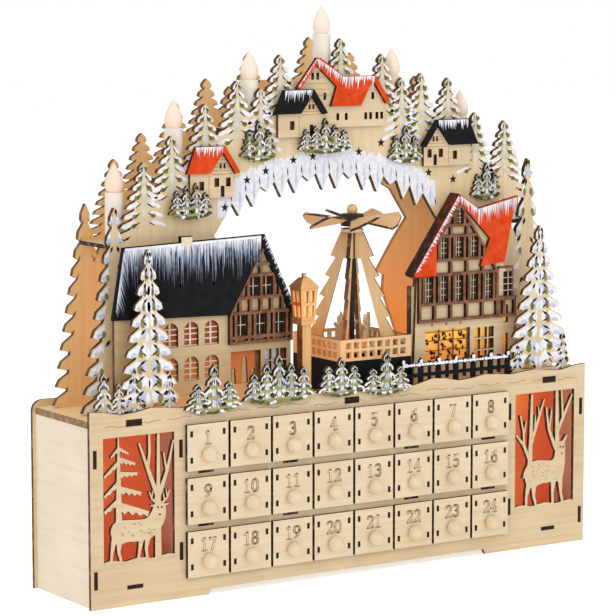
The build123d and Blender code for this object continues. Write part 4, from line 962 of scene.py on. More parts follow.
@dataclass
class Woods:
    """Painted spruces on the arch, the deck and the rim, and the icicles under the arch."""

    planes: Planes
    sheet: float = 3.0
    gate_shoulder: float = 97.0
    gate_spring: float = 122.0
    gate_vault: float = 42.0
    icicles: int = 16
    icicle_short: float = 5.0
    icicle_long: float = 9.0
    ridge_tips: tuple[Point, ...] = (
        (-158, 177), (-135, 195), (-107, 217), (-80, 233), (-60, 227), (-43, 251), (10, 262),
        (47, 250), (65, 232), (83, 235), (108, 231), (134, 204), (162, 197))
    ridge_height: float = 60.0
    ridge_half: float = 24.0
    leg_tips: tuple[Point, ...] = ((-182, 146), (185, 167))
    leg_half: float = 27.0
    standing: tuple[tuple[float, float, float], ...] = ((-168.5, 118, 25.0), (179.0, 117, 31.0))
    standing_trunk: float = 9.0
    star_places: tuple[Point, ...] = (
        (-91, 142), (-72, 161), (-56, 167), (-32, 174), (-15, 176), (26, 178), (46, 184),
        (90, 160), (113, 154))
    star_radius: float = 3.4
    left_group: tuple[tuple[float, float, float], ...] = (
        (-205, 33, 9), (-193, 25, 8), (-181, 37, 9), (-152, 30, 8))
    right_group: tuple[tuple[float, float, float], ...] = ((158, 27, 7), (203, 33, 8))
    rim_clumps: tuple[tuple[float, ...], ...] = (
        (-140, -101, -2, 34, 3), (-92, -39, 0, 40, 5), (-28, 6, 1, 34, 3), (11, 48, -1, 32, 3))
    arch_clumps: tuple[tuple[float, ...], ...] = (
        (-76, -50, 174, 207, 3), (54, 80, 168, 199, 3), (131, 155, 137, 168, 3))
    cottage_clumps: tuple[tuple[float, ...], ...] = ((-138, -106, 135, 166, 4), (-28, 14, 178, 206, 5))

    def trees(self) -> list[Tree]:
        """List every painted spruce.

        Returns:
            The trees.
        """
        deck, made = self.planes.deck, []
        for x, height in self.ridge_tips:
            made.append(Tree(x, deck + height - self.ridge_height, deck + height, self.ridge_half, 9, 0.0,
                             self.planes.arch, Habit.SLIM))
        for x, height in self.leg_tips:
            made.append(Tree(x, deck, deck + height, self.leg_half, 11, 0.0, self.planes.arch, Habit.TALL))
        for x, height, half in self.standing:
            made.append(Tree(x, deck, deck + height, half, 10, self.standing_trunk, self.planes.spruce,
                             Habit.SNOWY))
        for x, height, half in self.left_group + self.right_group:
            made.append(Tree(x, deck, deck + height, half, 5, 2.0, self.planes.spruce, Habit.FROSTED))
        return made

    def clump(self, coat: Sheetwork, place: tuple[float, ...], plane: float, habit: Habit) -> None:
        """Paint a clump of young spruces and the mossy mound under it.

        Args:
            coat: sheetwork that takes the shapes.
            place: left, right, foot, top and number of trees.
            plane: Y of the clump's face.
            habit: how its trees are painted.
        """
        left, right, foot, top, count = place
        pitch, base, middle = (right - left) / count, self.planes.deck + foot, (left + right) / 2
        mound = (top - foot) * 0.3
        for index in range(int(count)):
            x = left + (index + 0.5) * pitch
            away = abs(x - middle) / (right - left)
            tip = base + (top - foot) * (1 - 0.75 * away - 0.12 * abs(math.sin(1.7 * index + left)))
            Tree(x, base + mound * 0.4, tip, pitch * 0.85, 4, 0.0, plane, habit).paint(coat)
        steps = 26
        for index in range(steps):
            turn = math.pi * (1 + (index + 0.5) / steps)
            x = middle + (right - left) / 2 * 0.88 * math.cos(turn)
            z = base + mound / 2 * (1 + (0.5 + 0.3 * chance(left, index, 5)) * math.sin(turn))
            tone = ("moss", "pine", "pine", "snow")[int(4 * chance(left, index))]
            wide = 3.4 + 2.0 * chance(left, index, 2)
            coat.lay(tone, dab(x, z, wide, 2.4, left + index), plane, 4 + index % 3)

    def under(self, x: float) -> float:
        """Height of the arch's underside.

        Args:
            x: place across.
        Returns:
            Its height.
        """
        share = math.sqrt(max(0.0, 1 - (x / (self.gate_shoulder + 4)) ** 2))
        return self.planes.deck + self.gate_spring + self.gate_vault * share

    def hang_icicles(self, coat: Sheetwork) -> None:
        """Paint the snow that hangs in icicles under the arch.

        Args:
            coat: sheetwork that takes the shapes.
        """
        pitch = 2 * self.gate_shoulder / self.icicles
        for index in range(self.icicles):
            x = self.gate_shoulder - (index + 0.5) * pitch
            drop = self.icicle_short + self.icicle_long * abs(math.sin(2.1 * index))
            left, right = x - pitch / 2 + 0.05, x + pitch / 2 - 0.05
            crest = []
            for spike in range(9):
                at = right + (left - right) * spike / 8
                crest.append((at, self.under(at) + 13 + 1.5 * (spike % 2) + 4.5 * chance(index, spike)))
            coat.lay("rime", [(right, self.under(right) + 0.4)] + crest + [
                (left, self.under(left) + 0.4), (x, self.under(x) - drop + 0.6)], self.planes.arch)
            coat.lay("frost", sliver((x + 1, self.under(x) + 9), (x + 0.5, self.under(x) - drop + 2), 2.2),
                     self.planes.arch, 1)
            rim = self.under(right)
            coat.lay("char", sliver((right, rim + 0.6), (right - 1.0, rim + 8), 1.0), self.planes.arch, 2)

    def stars(self, coat: Sheetwork) -> None:
        """Show the star cut-outs through the snow as dark stars laid over the holes: partly the burnt rim of
        each cut, partly painted shade in place of the view through it.

        Args:
            coat: sheetwork that takes the shapes.
        """
        for x, height in self.star_places:
            middle = self.planes.deck + height
            points = []
            for corner in range(10):
                reach = self.star_radius * (0.42 if corner % 2 else 1.0)
                turn = math.pi / 2 + corner * math.pi / 5
                points.append((x + reach * math.cos(turn), middle + reach * math.sin(turn)))
            coat.lay("char", points, self.planes.arch, 3)

    def dress(self, materials: dict[str, bpy.types.Material]) -> None:
        """Paint all of it.

        Args:
            materials: every finish's material by name.
        """
        coat = Sheetwork("spruce_paint", "cabinet", "snowy_spruce")
        for tree in self.trees():
            tree.paint(coat)
        layers = ((self.rim_clumps, self.planes.face - self.sheet, Habit.FROSTED),
                  (self.arch_clumps, self.planes.arch - self.sheet, Habit.YOUNG),
                  (self.cottage_clumps, self.planes.arch - 2 * self.sheet, Habit.YOUNG))
        for clumps, plane, habit in layers:
            for place in clumps:
                self.clump(coat, place, plane, habit)
        self.hang_icicles(coat)
        self.stars(coat)
        coat.place(materials)


@dataclass(frozen=True)
class Gable:
    """Half-timbered wall: its ends, eave and apex, and the storeys' cells, as in the CAD."""

    left: float
    right: float
    eave: float
    apex: Point
    storeys: tuple[tuple[float, float, str], ...]
    columns: int
    rows: int

    def inside(self, x: float, height: float) -> bool:
        """Tell whether a point lies under the gable's slopes.

        Args:
            x: place across.
            height: height above the deck.
        Returns:
            True inside the gable.
        """
        if height <= self.eave:
            return self.left < x < self.right
        share = (height - self.eave) / (self.apex[1] - self.eave)
        left = self.left + (self.apex[0] - self.left) * share
        right = self.right + (self.apex[0] - self.right) * share
        return left < x < right

    def glaze(self, coat: Sheetwork, deck: float, plane: float) -> None:
        """Lay dark panes with pale bars in the window cells.

        Args:
            coat: sheetwork that takes the shapes.
            deck: height of the deck.
            plane: Y of the wall's face.
        """
        shares = {"n": 1.0, "b": 2.2, "w": 2.2}
        for low, high, pattern in self.storeys:
            unit = (self.right - self.left) / sum(shares[letter] for letter in pattern)
            start = self.left
            for letter in pattern:
                end = start + unit * shares[letter]
                if letter == "w" and self.inside(start + 1.5, high - 1) and self.inside(end - 1.5, high - 1):
                    self.pane(coat, (start + 1.3, deck + low + 1.3, end - 1.3, deck + high - 1.3), plane)
                start = end

    def pane(self, coat: Sheetwork, frame: tuple[float, float, float, float], plane: float) -> None:
        """Lay one dark pane with its bars.

        Args:
            coat: sheetwork that takes the shapes.
            frame: left, low, right and high edge.
            plane: Y of the wall's face.
        """
        x0, z0, x1, z1 = frame
        coat.lay("dusk", rect(x0, z0, x1, z1), plane)
        for column in range(1, self.columns):
            x = x0 + (x1 - x0) * column / self.columns
            coat.lay("cream", rect(x - 0.3, z0, x + 0.3, z1), plane, 2)
        for row in range(1, self.rows):
            z = z0 + (z1 - z0) * row / self.rows
            coat.lay("cream", rect(x0, z - 0.25, x1, z + 0.25), plane, 2)


@dataclass
class Village:
    """The two houses on the deck, their lit windows and snowy roofs, and the fence."""

    planes: Planes
    left_gable: Gable = Gable(-95.5, -41.5, 66.0, (-66.5, 113.5), (
        (48.5, 66.0, "nwnwnwn"), (77.0, 93.0, "bnwwnb")), 2, 2)
    right_gable: Gable = Gable(72.0, 147.0, 83.0, (109.0, 138.0), (
        (61.0, 83.0, "nwnwnwnwnwn"), (94.0, 112.0, "nwnwnwnwnwn"), (120.0, 134.0, "nwnwnwnwnwn")), 3, 4)
    side_wall: Gable = Gable(147.0, 164.0, 83.0, (155.0, 83.0), ((61.0, 83.0, "nw"),), 2, 4)
    sheet: float = 3.0
    core_mm: tuple[float, float, float] = (9.5, 9.5, 21.0)
    core_height: float = 71.0

    @property
    def behind(self) -> float:
        """Y of paper laid on the back of a house wall."""
        return self.planes.wall + self.sheet + SKIN_MM

    def spikes(self, coat: Sheetwork, start: Point, end: Point, count: int, fall: tuple[float, float],
               long: float, plane: float, tones: Sequence[str] = ("snow", "snow", "frost"),
               coats: int = 0) -> None:
        """Hang streaks of snow from a roof's edge.

        Args:
            coat: sheetwork that takes the shapes.
            start: first end of the edge, height above the deck.
            end: second end of the edge.
            count: number of streaks.
            fall: direction in which they run.
            long: longest streak.
            plane: Y of the roof's face.
            tones: finishes that the streaks are picked from.
            coats: coats of streaks that lie under these.
        """
        across, up = end[0] - start[0], end[1] - start[1]
        edge = math.hypot(across, up)
        for index in range(count):
            share = (index + 0.15 + 0.7 * chance(index, start[0])) / count
            x, z = start[0] + across * share, self.planes.deck + start[1] + up * share
            run = long * (0.3 + 0.7 * chance(index, start[1], 3))
            half = edge / count * (0.8 + 0.7 * chance(index, 4)) / 2
            dx, dz = across / edge * half, up / edge * half
            tone = tones[int(len(tones) * chance(index, 9, coats))]
            coat.lay(tone, [(x - dx, z - dz), (x + dx, z + dz), (x + fall[0] * run, z + fall[1] * run)],
                     plane, index % 3 + 3 * coats)

    def left_house(self, coat: Sheetwork) -> None:
        """Dress the long house.

        Args:
            coat: sheetwork that takes the shapes.
        """
        deck, wall, roof = self.planes.deck, self.planes.wall, self.planes.roof
        for coats, (count, long, tones) in enumerate(((88, 32.0, ("haze",)), (96, 23.0, ("haze", "frost")),
                                                      (104, 13.0, ("snow", "rime", "frost")))):
            self.spikes(coat, (-181.5, 118.4), (-69.0, 121.6), count, (0.02, -1.0), long, roof, tones, coats)
        self.spikes(coat, (-187.8, 84.0), (-182.5, 117.0), 32, (0.3, -0.9), 17.0, roof, ("haze", "frost"))
        self.spikes(coat, (-189.2, 75.5), (-182.5, 117.0), 34, (0.3, -0.9), 8.0, roof, ("snow", "frost"), 1)
        self.spikes(coat, (-65.2, 121.5), (-39.6, 66.5), 46, (-0.6, -0.6), 4.2, roof,
                    ("snow", "frost", "haze"))
        ridge = ((-181.6, 118.5), (-69.0, 121.7), (-69.0, 119.9), (-181.9, 116.7))
        coat.lay("snow", [(x, deck + z) for x, z in ridge], roof, 9)
        coat.lay("cream", rect(-136.0, deck + 117.5, -127.0, deck + 124.0), roof, 12)
        for x in (-109.0, -136.5):
            coat.lay("dusk", rect(x - 3.2, deck + 86.0, x + 3.2, deck + 93.0), wall)
        self.left_gable.glaze(coat, deck, wall)
        for column in range(4):
            for sill in (20.0, 45.0):
                self.arched(coat, -160.0 + 17 * column, deck + sill)
        coat.lay("window_glow", rect(-94.0, deck + 13.5, -66.5, deck + 39.0), self.behind)
        # Each shop figure has a dark copy set 1.2 mm to its right and behind it: a painted shadow on the lit
        # paper
        for x, tall, wide in ((-90.0, 11.0, 3.2), (-80.5, 19.0, 4.6), (-73.5, 10.0, 3.4)):
            for finish, shift, plane in (("char", 1.2, wall + 2.6), ("house_birch", 0.0, wall + 2.3)):
                foot, neck = (x + shift, deck + 14.7), (x + shift, deck + 11.6 + tall)
                coat.lay(finish, bar(foot, neck, wide, wide * 0.6), plane)
                coat.lay(finish, dab(x + shift, deck + 13.0 + tall, 3.0, 3.4, x), plane, 1)
        coat.lay("timber", rect(-70.4, deck + 14.6, -67.6, deck + 37.9), wall + 2.3)
        coat.lay("snow", rect(-65.0, deck + 11.0, -52.0, deck + 39.0), self.behind)
        coat.lay("timber", rect(-52.0, deck + 11.0, -44.0, deck + 39.0), self.behind)

    def arched(self, coat: Sheetwork, x: float, sill: float) -> None:
        """Light one arched window and set its bars.

        Args:
            coat: sheetwork that takes the shapes.
            x: middle of the window.
            sill: height of the sill.
        """
        wall = self.planes.wall
        coat.lay("window_glow", rect(x - 6.5, sill - 0.5, x + 6.5, sill + 18.0), self.behind)
        coat.lay("cream", rect(x - 0.7, sill, x + 0.7, sill + 17.4), wall + 2.0)
        for up in (0.4, 4.6, 8.8, 12.6):
            coat.lay("cream", rect(x - 5.8, sill + up - 0.5, x + 5.8, sill + up + 0.5), wall + 2.0, 1)
        coat.lay("cream", rect(x - 5.9, sill, x - 5.0, sill + 13.0), wall + 2.0)

    def right_house(self, coat: Sheetwork) -> None:
        """Dress the tall house.

        Args:
            coat: sheetwork that takes the shapes.
        """
        deck, wall, roof = self.planes.deck, self.planes.wall, self.planes.roof
        self.spikes(coat, (110.0, 142.4), (127.0, 131.4), 18, (0.1, -1.0), 9.0, roof)
        self.spikes(coat, (127.0, 131.4), (163.6, 138.8), 34, (-0.05, -1.0), 14.0, roof)
        self.spikes(coat, (108.0, 142.0), (69.0, 86.6), 44, (0.75, -0.5), 5.4, roof)
        for gable in (self.right_gable, self.side_wall):
            gable.glaze(coat, deck, wall)
        coat.lay("shop_glow", rect(79.0, deck + 16.0, 123.0, deck + 42.0), self.behind)
        for x in (80.6, 94.0, 107.5, 121.0):
            coat.lay("timber", rect(x - 0.7, deck + 17.0, x + 0.7, deck + 41.0), wall + 2.2)
        for index in range(60):
            spot = (82.0 + 38.0 * chance(index, 5), deck + 17.5 + 20.0 * chance(index, 6) ** 1.4)
            coat.lay("char", dab(*spot, 1.3 + 1.8 * chance(index, 7), 1.6 + 3.2 * chance(index, 8), index),
                     wall + 2.4, index % 3)
        for z in (24.5, 32.0, 38.6):
            coat.lay("timber", rect(80.0, deck + z, 122.0, deck + z + 0.7), wall + 2.2, 3)
        for x in (86.0, 99.5, 113.0):
            coat.lay("engraving", dab(x, deck + 45.0, 2.4, 3.0, x), wall)
        coat.lay("dusk", rect(104.0, deck + 119.5, 114.0, deck + 131.0), wall)
        for x in (106.4, 111.6):
            coat.lay("cream", rect(x - 0.3, deck + 119.5, x + 0.3, deck + 131.0), wall, 2)
        for z in (122.5, 125.5, 128.5):
            coat.lay("cream", rect(104.0, deck + z - 0.25, 114.0, deck + z + 0.25), wall, 2)
        coat.lay("timber", rect(108.2, deck + 119.0, 109.8, deck + 132.0), wall, 4)
        for x0, x1, z0, z1 in ((147.6, 149.2, 62.0, 86.0), (161.6, 163.2, 62.0, 84.0),
                               (147.6, 163.2, 84.2, 86.2)):
            coat.lay("timber", rect(x0, deck + z0, x1, deck + z1), wall, 1)
        coat.lay("shop_glow", rect(125.0, deck + 12.0, 146.0, deck + 42.0), self.behind)
        coat.lay("timber", rect(142.0, deck + 14.0, 145.5, deck + 40.0), wall + 2.9)
        for z in (27.0, 49.0):
            coat.lay("shop_glow", rect(153.0, deck + z - 7.5, 159.0, deck + z + 7.5), self.behind)

    def fence(self, coat: Sheetwork) -> None:
        """Lay snow on the fence.

        Args:
            coat: sheetwork that takes the shapes.
        """
        low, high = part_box("garden_fence")
        plane, left, right = low[1] * 1000, low[0] * 1000, high[0] * 1000
        deck = self.planes.deck
        for index in range(40):
            x = left + 1.5 + (right - left - 3) * (index + 0.3 * chance(index, 1)) / 40
            coat.lay("snow", dab(x, deck + 18.2, 3.2, 2.0 + 1.2 * chance(index, 2), index), plane, index % 2)
        for index in range(7):
            x = left + 2 + (right - left - 4) * index / 6
            coat.lay("snow", dab(x, deck + 20.8, 3.4, 4.0, index + 50), plane, 2)

    def lantern(self, materials: dict[str, bpy.types.Material]) -> None:
        """Set the lit core in the lantern's head.

        Args:
            materials: every finish's material by name.
        """
        low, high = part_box("street_lantern")
        height = (self.planes.deck + self.core_height) / 1000
        middle = Vector(((low[0] + high[0]) / 2, (low[1] + high[1]) / 2, height))
        work = bmesh.new()
        bmesh.ops.create_cube(work, size=1.0)
        bmesh.ops.scale(work, vec=Vector(self.core_mm) / 1000, verts=work.verts[:])
        bmesh.ops.translate(work, vec=middle, verts=work.verts[:])
        piece = piece_of(work, "lantern_core", materials["lantern_glow"])
        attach(piece, "cabinet")
        LOG.info("lantern_core")

    def dress(self, materials: dict[str, bpy.types.Material]) -> None:
        """Dress both houses, the fence and the lantern.

        Args:
            materials: every finish's material by name.
        """
        self.lantern(materials)
        coat = Sheetwork("village_paint", "cabinet", "birch_plywood")
        self.left_house(coat)
        self.right_house(coat)
        self.fence(coat)
        coat.place(materials)


@dataclass(frozen=True)
class Cottage:
    """Cottage on the arch, as in the CAD: apex, eave and floor above the deck, and its gable and roof."""

    apex: Point
    eave: float
    floor: float
    gable_half: float
    roof_length: float
    side: int

    def at(self, dx: float, height: float) -> Point:
        """Point dx towards the gable's outer side of the apex.

        Args:
            dx: distance from the apex.
            height: height above the deck.
        Returns:
            The point.
        """
        return self.apex[0] + self.side * dx, height


@dataclass
class Hamlet:
    """Cottages and hall on the arch: planks, dark windows and snowy roofs."""

    planes: Planes
    village: Village
    cottages: tuple[Cottage, ...] = (
        Cottage((-94.5, 187), 167.5, 149.5, 11.5, 24.0, 1),
        Cottage((-18.0, 225.5), 208.0, 191.0, 10.8, 25.5, 1),
        Cottage((94.0, 200), 180.5, 165.0, 12.5, 29.5, -1))
    hall_x: float = -15.0
    hall_apex: float = 248.5
    hall_eave: float = 227.0
    hall_half: float = 17.5
    hall_floor: float = 197.0
    wing_x: float = 36.5
    wing_apex: float = 234.5
    wing_eave: float = 212.5
    wing_half: float = 12.5
    sheet: float = 3.0

    def window(self, coat: Sheetwork, x: float, height: float, wide: float, tall: float) -> None:
        """Darken one window at the back of its opening.

        Args:
            coat: sheetwork that takes the shapes.
            x: middle of the window.
            height: its middle above the deck.
            wide: width.
            tall: height.
        """
        z = self.planes.deck + height
        coat.lay("timber", rect(x - wide / 2, z - tall / 2, x + wide / 2, z + tall / 2), self.planes.arch)

    def line(self, coat: Sheetwork, start: Point, end: Point) -> None:
        """Cut one fine line in a wall.

        Args:
            coat: sheetwork that takes the shapes.
            start: first end, height above the deck.
            end: second end.
        """
        deck = self.planes.deck
        stroke = bar((start[0], deck + start[1]), (end[0], deck + end[1]), 0.35)
        coat.lay("engraving", stroke, self.planes.arch - self.sheet)

    def cottage(self, coat: Sheetwork, house: Cottage) -> None:
        """Dress one cottage.

        Args:
            coat: sheetwork that takes the shapes.
            house: the cottage.
        """
        height = house.eave - house.floor
        wall = self.planes.arch - self.sheet
        deck = self.planes.deck
        for dx in (-house.gable_half * 0.42, house.gable_half * 0.42):
            self.window(coat, *house.at(dx, house.floor + height * 0.62), 4.0, 6.4)
        for index in range(int((house.roof_length - house.gable_half) // 9)):
            away = house.gable_half + 6 + 9 * index
            self.window(coat, *house.at(-away, house.floor + height * 0.5), 4.0, 6.4)
        x, _ = house.at(0.0, 0.0)
        coat.lay("dusk", rect(x - 1.5, deck + house.floor + 0.6, x + 1.5, deck + house.floor + 8.6), wall)
        eave = deck + house.eave
        for side in (-1.6, 1.6):
            coat.lay("dusk", rect(x + side - 0.8, eave + 3, x + side + 0.8, eave + 6.5), wall)
        rise = house.apex[1] - house.eave
        for step in range(6):
            level = house.eave - 1 + rise * 0.8 * step / 6
            half = (house.gable_half - 3) * max(0.15, 1 - max(0.0, level - house.eave) / rise * 1.25)
            self.line(coat, house.at(-half, level), house.at(half, level))
        corner = house.at(-house.gable_half, 0)[0]
        self.line(coat, (corner, house.floor + 0.5), (corner, house.eave - 1.5))
        ridge = house.at(-0.8, house.apex[1] - 0.4), house.at(-house.roof_length + 0.4, house.apex[1] - 0.4)
        start, end = sorted(ridge)
        self.village.spikes(coat, start, end, 18, (-0.1 * house.side, -1.0), 9.0, wall - self.sheet)

    def hall(self, coat: Sheetwork) -> None:
        """Dress the hall.

        Args:
            coat: sheetwork that takes the shapes.
        """
        sill = (self.hall_floor + self.wing_eave) / 2
        panes = [(self.wing_x + self.wing_half * share, sill)
                 for share in (-2.5, -1.9, -0.5, -0.15, 0.3, 0.65)]
        panes += [(self.hall_x + self.hall_half / 2, self.hall_eave - 7),
                  (self.hall_x - 2, self.hall_eave + 8), (self.hall_x + 2.5, self.hall_eave + 8),
                  (self.wing_x, self.wing_eave + 7)]
        for x, height in panes:
            self.window(coat, x, height, 2.6, 5.2)
        roof = self.planes.arch - 2 * self.sheet
        rise = self.hall_apex - self.hall_eave
        for step in range(5):
            level = self.hall_eave - 6 + rise * 0.2 * step
            half = (self.hall_half - 4) * min(1.0, 1 - max(0.0, level - self.hall_eave) / rise * 1.2)
            self.line(coat, (self.hall_x - half, level), (self.hall_x + half, level))
        end = self.hall_x + self.hall_half + 6.0
        self.village.spikes(coat, (self.hall_x + 0.5, self.hall_apex - 0.5), (end, self.wing_apex - 0.3), 20,
                            (-0.15, -1.0), 8.0, roof)
        self.village.spikes(coat, (end, self.wing_apex - 0.4), (self.wing_x - 0.6, self.wing_apex - 0.4), 14,
                            (-0.1, -1.0), 10.0, roof)
        self.village.spikes(coat, (self.hall_x - self.hall_half + 1.5, self.hall_eave + 1.2),
                            (self.hall_x - 0.4, self.hall_apex - 0.8), 24, (0.5, -0.7), 2.6, roof)

    def dress(self, materials: dict[str, bpy.types.Material]) -> None:
        """Dress the cottages and the hall.

        Args:
            materials: every finish's material by name.
        """
        coat = Sheetwork("hamlet_paint", "cabinet", "birch_plywood")
        for house in self.cottages:
            self.cottage(coat, house)
        self.hall(coat)
        coat.place(materials)


@dataclass
class Woodland:
    """Cut-out scenes in the two windows: a spruce, bare trees, a stag and a doe."""

    planes: Planes
    inner: float = 152.0
    outer: float = 209.5
    sill: float = 31.0
    head: float = 121.3
    gap: float = 0.1
    sheet: float = 3.0

    def bank(self) -> list[Point]:
        """Outline of the low snow bank.

        Returns:
            Its corners from the window's lower left corner.
        """
        wide = self.outer - self.inner
        crest = [(wide * i / 12, 2.2 + 0.9 * math.sin(1.3 * i)) for i in range(12, -1, -1)]
        return [(0.0, 0.0), (wide, 0.0)] + crest

    def stag_scene(self) -> list[list[Point]]:
        """Spruce, bare tree and stag of the left window.

        Returns:
            Overlapping outlines from the window's lower left corner.
        """
        shapes = [self.bank(), limb([(12.3, 24.0), (12.4, 60.0), (12.3, 90.0)], [5.2, 3.2, 0.8])]
        for start, end, wide in (((12.0, 84.0), (20.5, 78.5), 4.0), ((12.0, 76.5), (26.0, 71.0), 5.4),
                                 ((12.0, 66.0), (27.8, 64.0), 5.4), ((12.0, 56.0), (30.8, 49.5), 6.6),
                                 ((12.0, 44.5), (37.0, 35.0), 9.0)):
            shapes.append(toothed(start, end, wide, 4))
        for start, end, wide in (((12.8, 84.0), (6.0, 77.0), 4.2), ((12.8, 74.5), (0.4, 63.5), 5.2),
                                 ((12.8, 60.5), (0.4, 49.5), 5.8), ((12.8, 48.0), (0.4, 38.5), 6.6)):
            shapes.append(toothed(start, end, wide, 3))
        body = [(5.8, 25.0), (11.0, 30.6), (23.4, 30.4), (34.0, 30.2), (38.6, 34.5), (41.2, 39.6),
                (45.3, 41.4), (49.6, 38.8), (50.2, 32.0), (48.0, 25.0), (40.0, 16.6), (29.0, 14.6),
                (19.0, 15.2), (12.0, 13.4), (7.6, 17.0)]
        shapes.append(rounded(body))
        for points in ([(9.0, 20.0), (6.6, 9.5), (5.8, 1.2)], [(12.6, 18.0), (12.0, 8.5), (14.0, 1.2)],
                       [(31.0, 19.0), (29.0, 9.0), (27.6, 1.4)], [(36.0, 19.0), (34.2, 9.0), (35.0, 1.4)]):
            shapes.append(limb(points, [5.0, 2.4, 2.0]))
        for side in (-1, 1):
            beam = [(45.3 + side * 2.0, 40.0), (45.3 + side * 6.2, 43.6), (45.3 + side * 8.4, 49.0)]
            shapes.append(limb(beam, [1.7, 1.4, 0.8]))
            for out, foot, top in ((4.0, 42.0, 46.6), (6.4, 44.4, 49.6)):
                tine = [(45.3 + side * out, foot), (45.3 + side * (out - 1.0), top)]
                shapes.append(limb(tine, [1.2, 0.7]))
            shapes.append(limb([(45.3 + side * 3.0, 38.6), (45.3 + side * 7.4, 39.0)], [1.8, 0.8]))
        shapes.append(limb([(44.0, 0.6), (44.0, 24.0), (44.2, 48.0)], [5.2, 4.6, 4.0]))
        for points, widths in (([(43.4, 46.0), (35.6, 66.5), (28.9, 84.5)], [3.4, 2.6, 1.2]),
                               ([(44.2, 46.0), (44.5, 68.0), (44.6, 90.0)], [3.2, 2.6, 1.9]),
                               ([(35.8, 66.0), (37.4, 77.0), (37.2, 90.0)], [2.2, 2.0, 1.6]),
                               ([(45.0, 46.0), (52.0, 64.0), (57.0, 84.5)], [3.4, 2.4, 1.3]),
                               ([(51.4, 62.5), (48.6, 76.3)], [1.8, 0.9])):
            shapes.append(limb(points, widths))
        return shapes

    def doe_scene(self) -> list[list[Point]]:
        """Bare trees and doe of the right window.

        Returns:
            Overlapping outlines from the window's lower left corner.
        """
        shapes = [self.bank()]
        for points, widths in (([(14.2, 28.0), (15.4, 57.0), (16.1, 89.0)], [4.8, 3.2, 1.9]),
                               ([(14.4, 38.0), (8.2, 50.5), (1.0, 58.5)], [3.2, 2.4, 1.3]),
                               ([(8.8, 49.5), (8.0, 61.0), (4.8, 73.5)], [1.9, 1.6, 0.9]),
                               ([(8.2, 57.0), (10.6, 68.5)], [1.5, 0.9]),
                               ([(15.4, 50.0), (22.0, 68.0), (28.2, 84.5)], [3.0, 2.3, 1.1]),
                               ([(19.0, 59.5), (19.6, 72.5)], [1.6, 0.9]),
                               ([(23.2, 71.0), (22.6, 79.0)], [1.4, 0.8]),
                               ([(41.4, 42.0), (40.8, 66.0), (40.4, 90.0)], [4.4, 3.4, 2.4]),
                               ([(40.0, 44.0), (32.8, 60.5), (30.0, 78.0)], [3.2, 2.3, 1.1]),
                               ([(33.4, 60.0), (35.4, 76.0)], [1.7, 0.9]),
                               ([(41.2, 57.5), (48.5, 72.0), (55.6, 86.0)], [3.0, 2.3, 1.3]),
                               ([(46.6, 68.0), (45.0, 90.0)], [2.0, 1.3])):
            shapes.append(limb(points, widths))
        body = [(9.4, 29.0), (14.2, 35.4), (22.4, 37.0), (31.3, 36.0), (37.4, 36.4), (39.6, 43.0),
                (41.6, 48.6), (45.4, 50.0), (48.8, 47.0), (49.0, 38.0), (48.2, 27.0), (45.0, 19.4),
                (34.3, 18.6), (25.4, 18.2), (17.0, 15.4), (11.4, 19.0)]
        shapes.append(rounded(body))
        for points in ([(42.4, 48.0), (40.2, 53.6)], [(46.8, 48.0), (50.6, 54.4)]):
            shapes.append(limb(points, [3.0, 1.0]))
        shapes.append(limb([(10.4, 29.0), (8.2, 24.0)], [2.6, 1.0]))
        for points in ([(14.0, 20.0), (11.4, 9.5), (11.2, 1.2)], [(18.5, 19.0), (18.6, 9.0), (21.0, 1.2)],
                       [(38.0, 21.0), (37.0, 9.5), (37.4, 1.2)], [(44.4, 22.0), (45.2, 9.5), (47.0, 1.2)]):
            shapes.append(limb(points, [5.2, 2.4, 2.0]))
        return shapes

    def sheet_of(self, outlines: Sequence[Sequence[Point]], left: float, name: str) -> bpy.types.Object:
        """Extrude outlines to the sheet's thickness.

        Args:
            outlines: shapes from the window's lower left corner.
            left: X of that corner.
            name: name of the object.
        Returns:
            The new object.
        """
        top, wide, shapes = self.head - self.sill - self.gap, self.outer - self.inner - self.gap, []
        for points in outlines:
            shapes.append(([(left + min(max(u, self.gap), wide), self.sill + min(max(v, self.gap), top))
                            for u, v in points], self.planes.face))
        return piece_of(slab(shapes, self.sheet), name)

    def joined(self, outlines: Sequence[Sequence[Point]], left: float, name: str) -> bpy.types.Mesh:
        """Fuse overlapping shapes into one cut sheet.

        Args:
            outlines: shapes from the window's lower left corner.
            left: X of that corner.
            name: name of the mesh.
        Returns:
            The fused mesh.
        """
        ground = self.sheet_of(outlines[:1], left, name + "_ground")
        rest = self.sheet_of(outlines[1:], left, name + "_rest")
        union = ground.modifiers.new("union", "BOOLEAN")
        union.operation, union.solver, union.use_self, union.object = "UNION", "EXACT", True, rest
        graph = bpy.context.evaluated_depsgraph_get()
        mesh = bpy.data.meshes.new_from_object(ground.evaluated_get(graph))
        for piece in (ground, rest):
            bpy.data.objects.remove(piece)
        return mesh

    def markings(self, coat: Sheetwork) -> None:
        """Engrave eyes and strokes of fur.

        Args:
            coat: sheetwork that takes the shapes.
        """
        face = self.planes.face
        for left, eyes, flank in ((-self.outer, ((43.8, 37.4), (47.0, 37.2)), (12.0, 44.0, 17.5, 28.5)),
                                  (self.inner, ((44.2, 45.6), (47.2, 45.2)), (13.0, 45.0, 20.5, 34.5))):
            for u, v in eyes:
                coat.lay("char", dab(left + u, self.sill + v, 1.5, 1.7, u), face)
            low_u, high_u, low_v, high_v = flank
            for index in range(22):
                u = low_u + (high_u - low_u) * chance(index, left)
                v = low_v + (high_v - low_v) * chance(index, left, 2)
                tilt = 1.6 + 1.8 * chance(index, 3)
                start, end = (left + u, self.sill + v), (left + u + tilt, self.sill + v - 1.6)
                coat.lay("engraving", sliver(start, end, 0.5), face)
            nose = (left + eyes[0][0] + 1.7, self.sill + eyes[0][1] - 5.4)
            coat.lay("char", dab(*nose, 1.9, 1.5, 3.0), face)

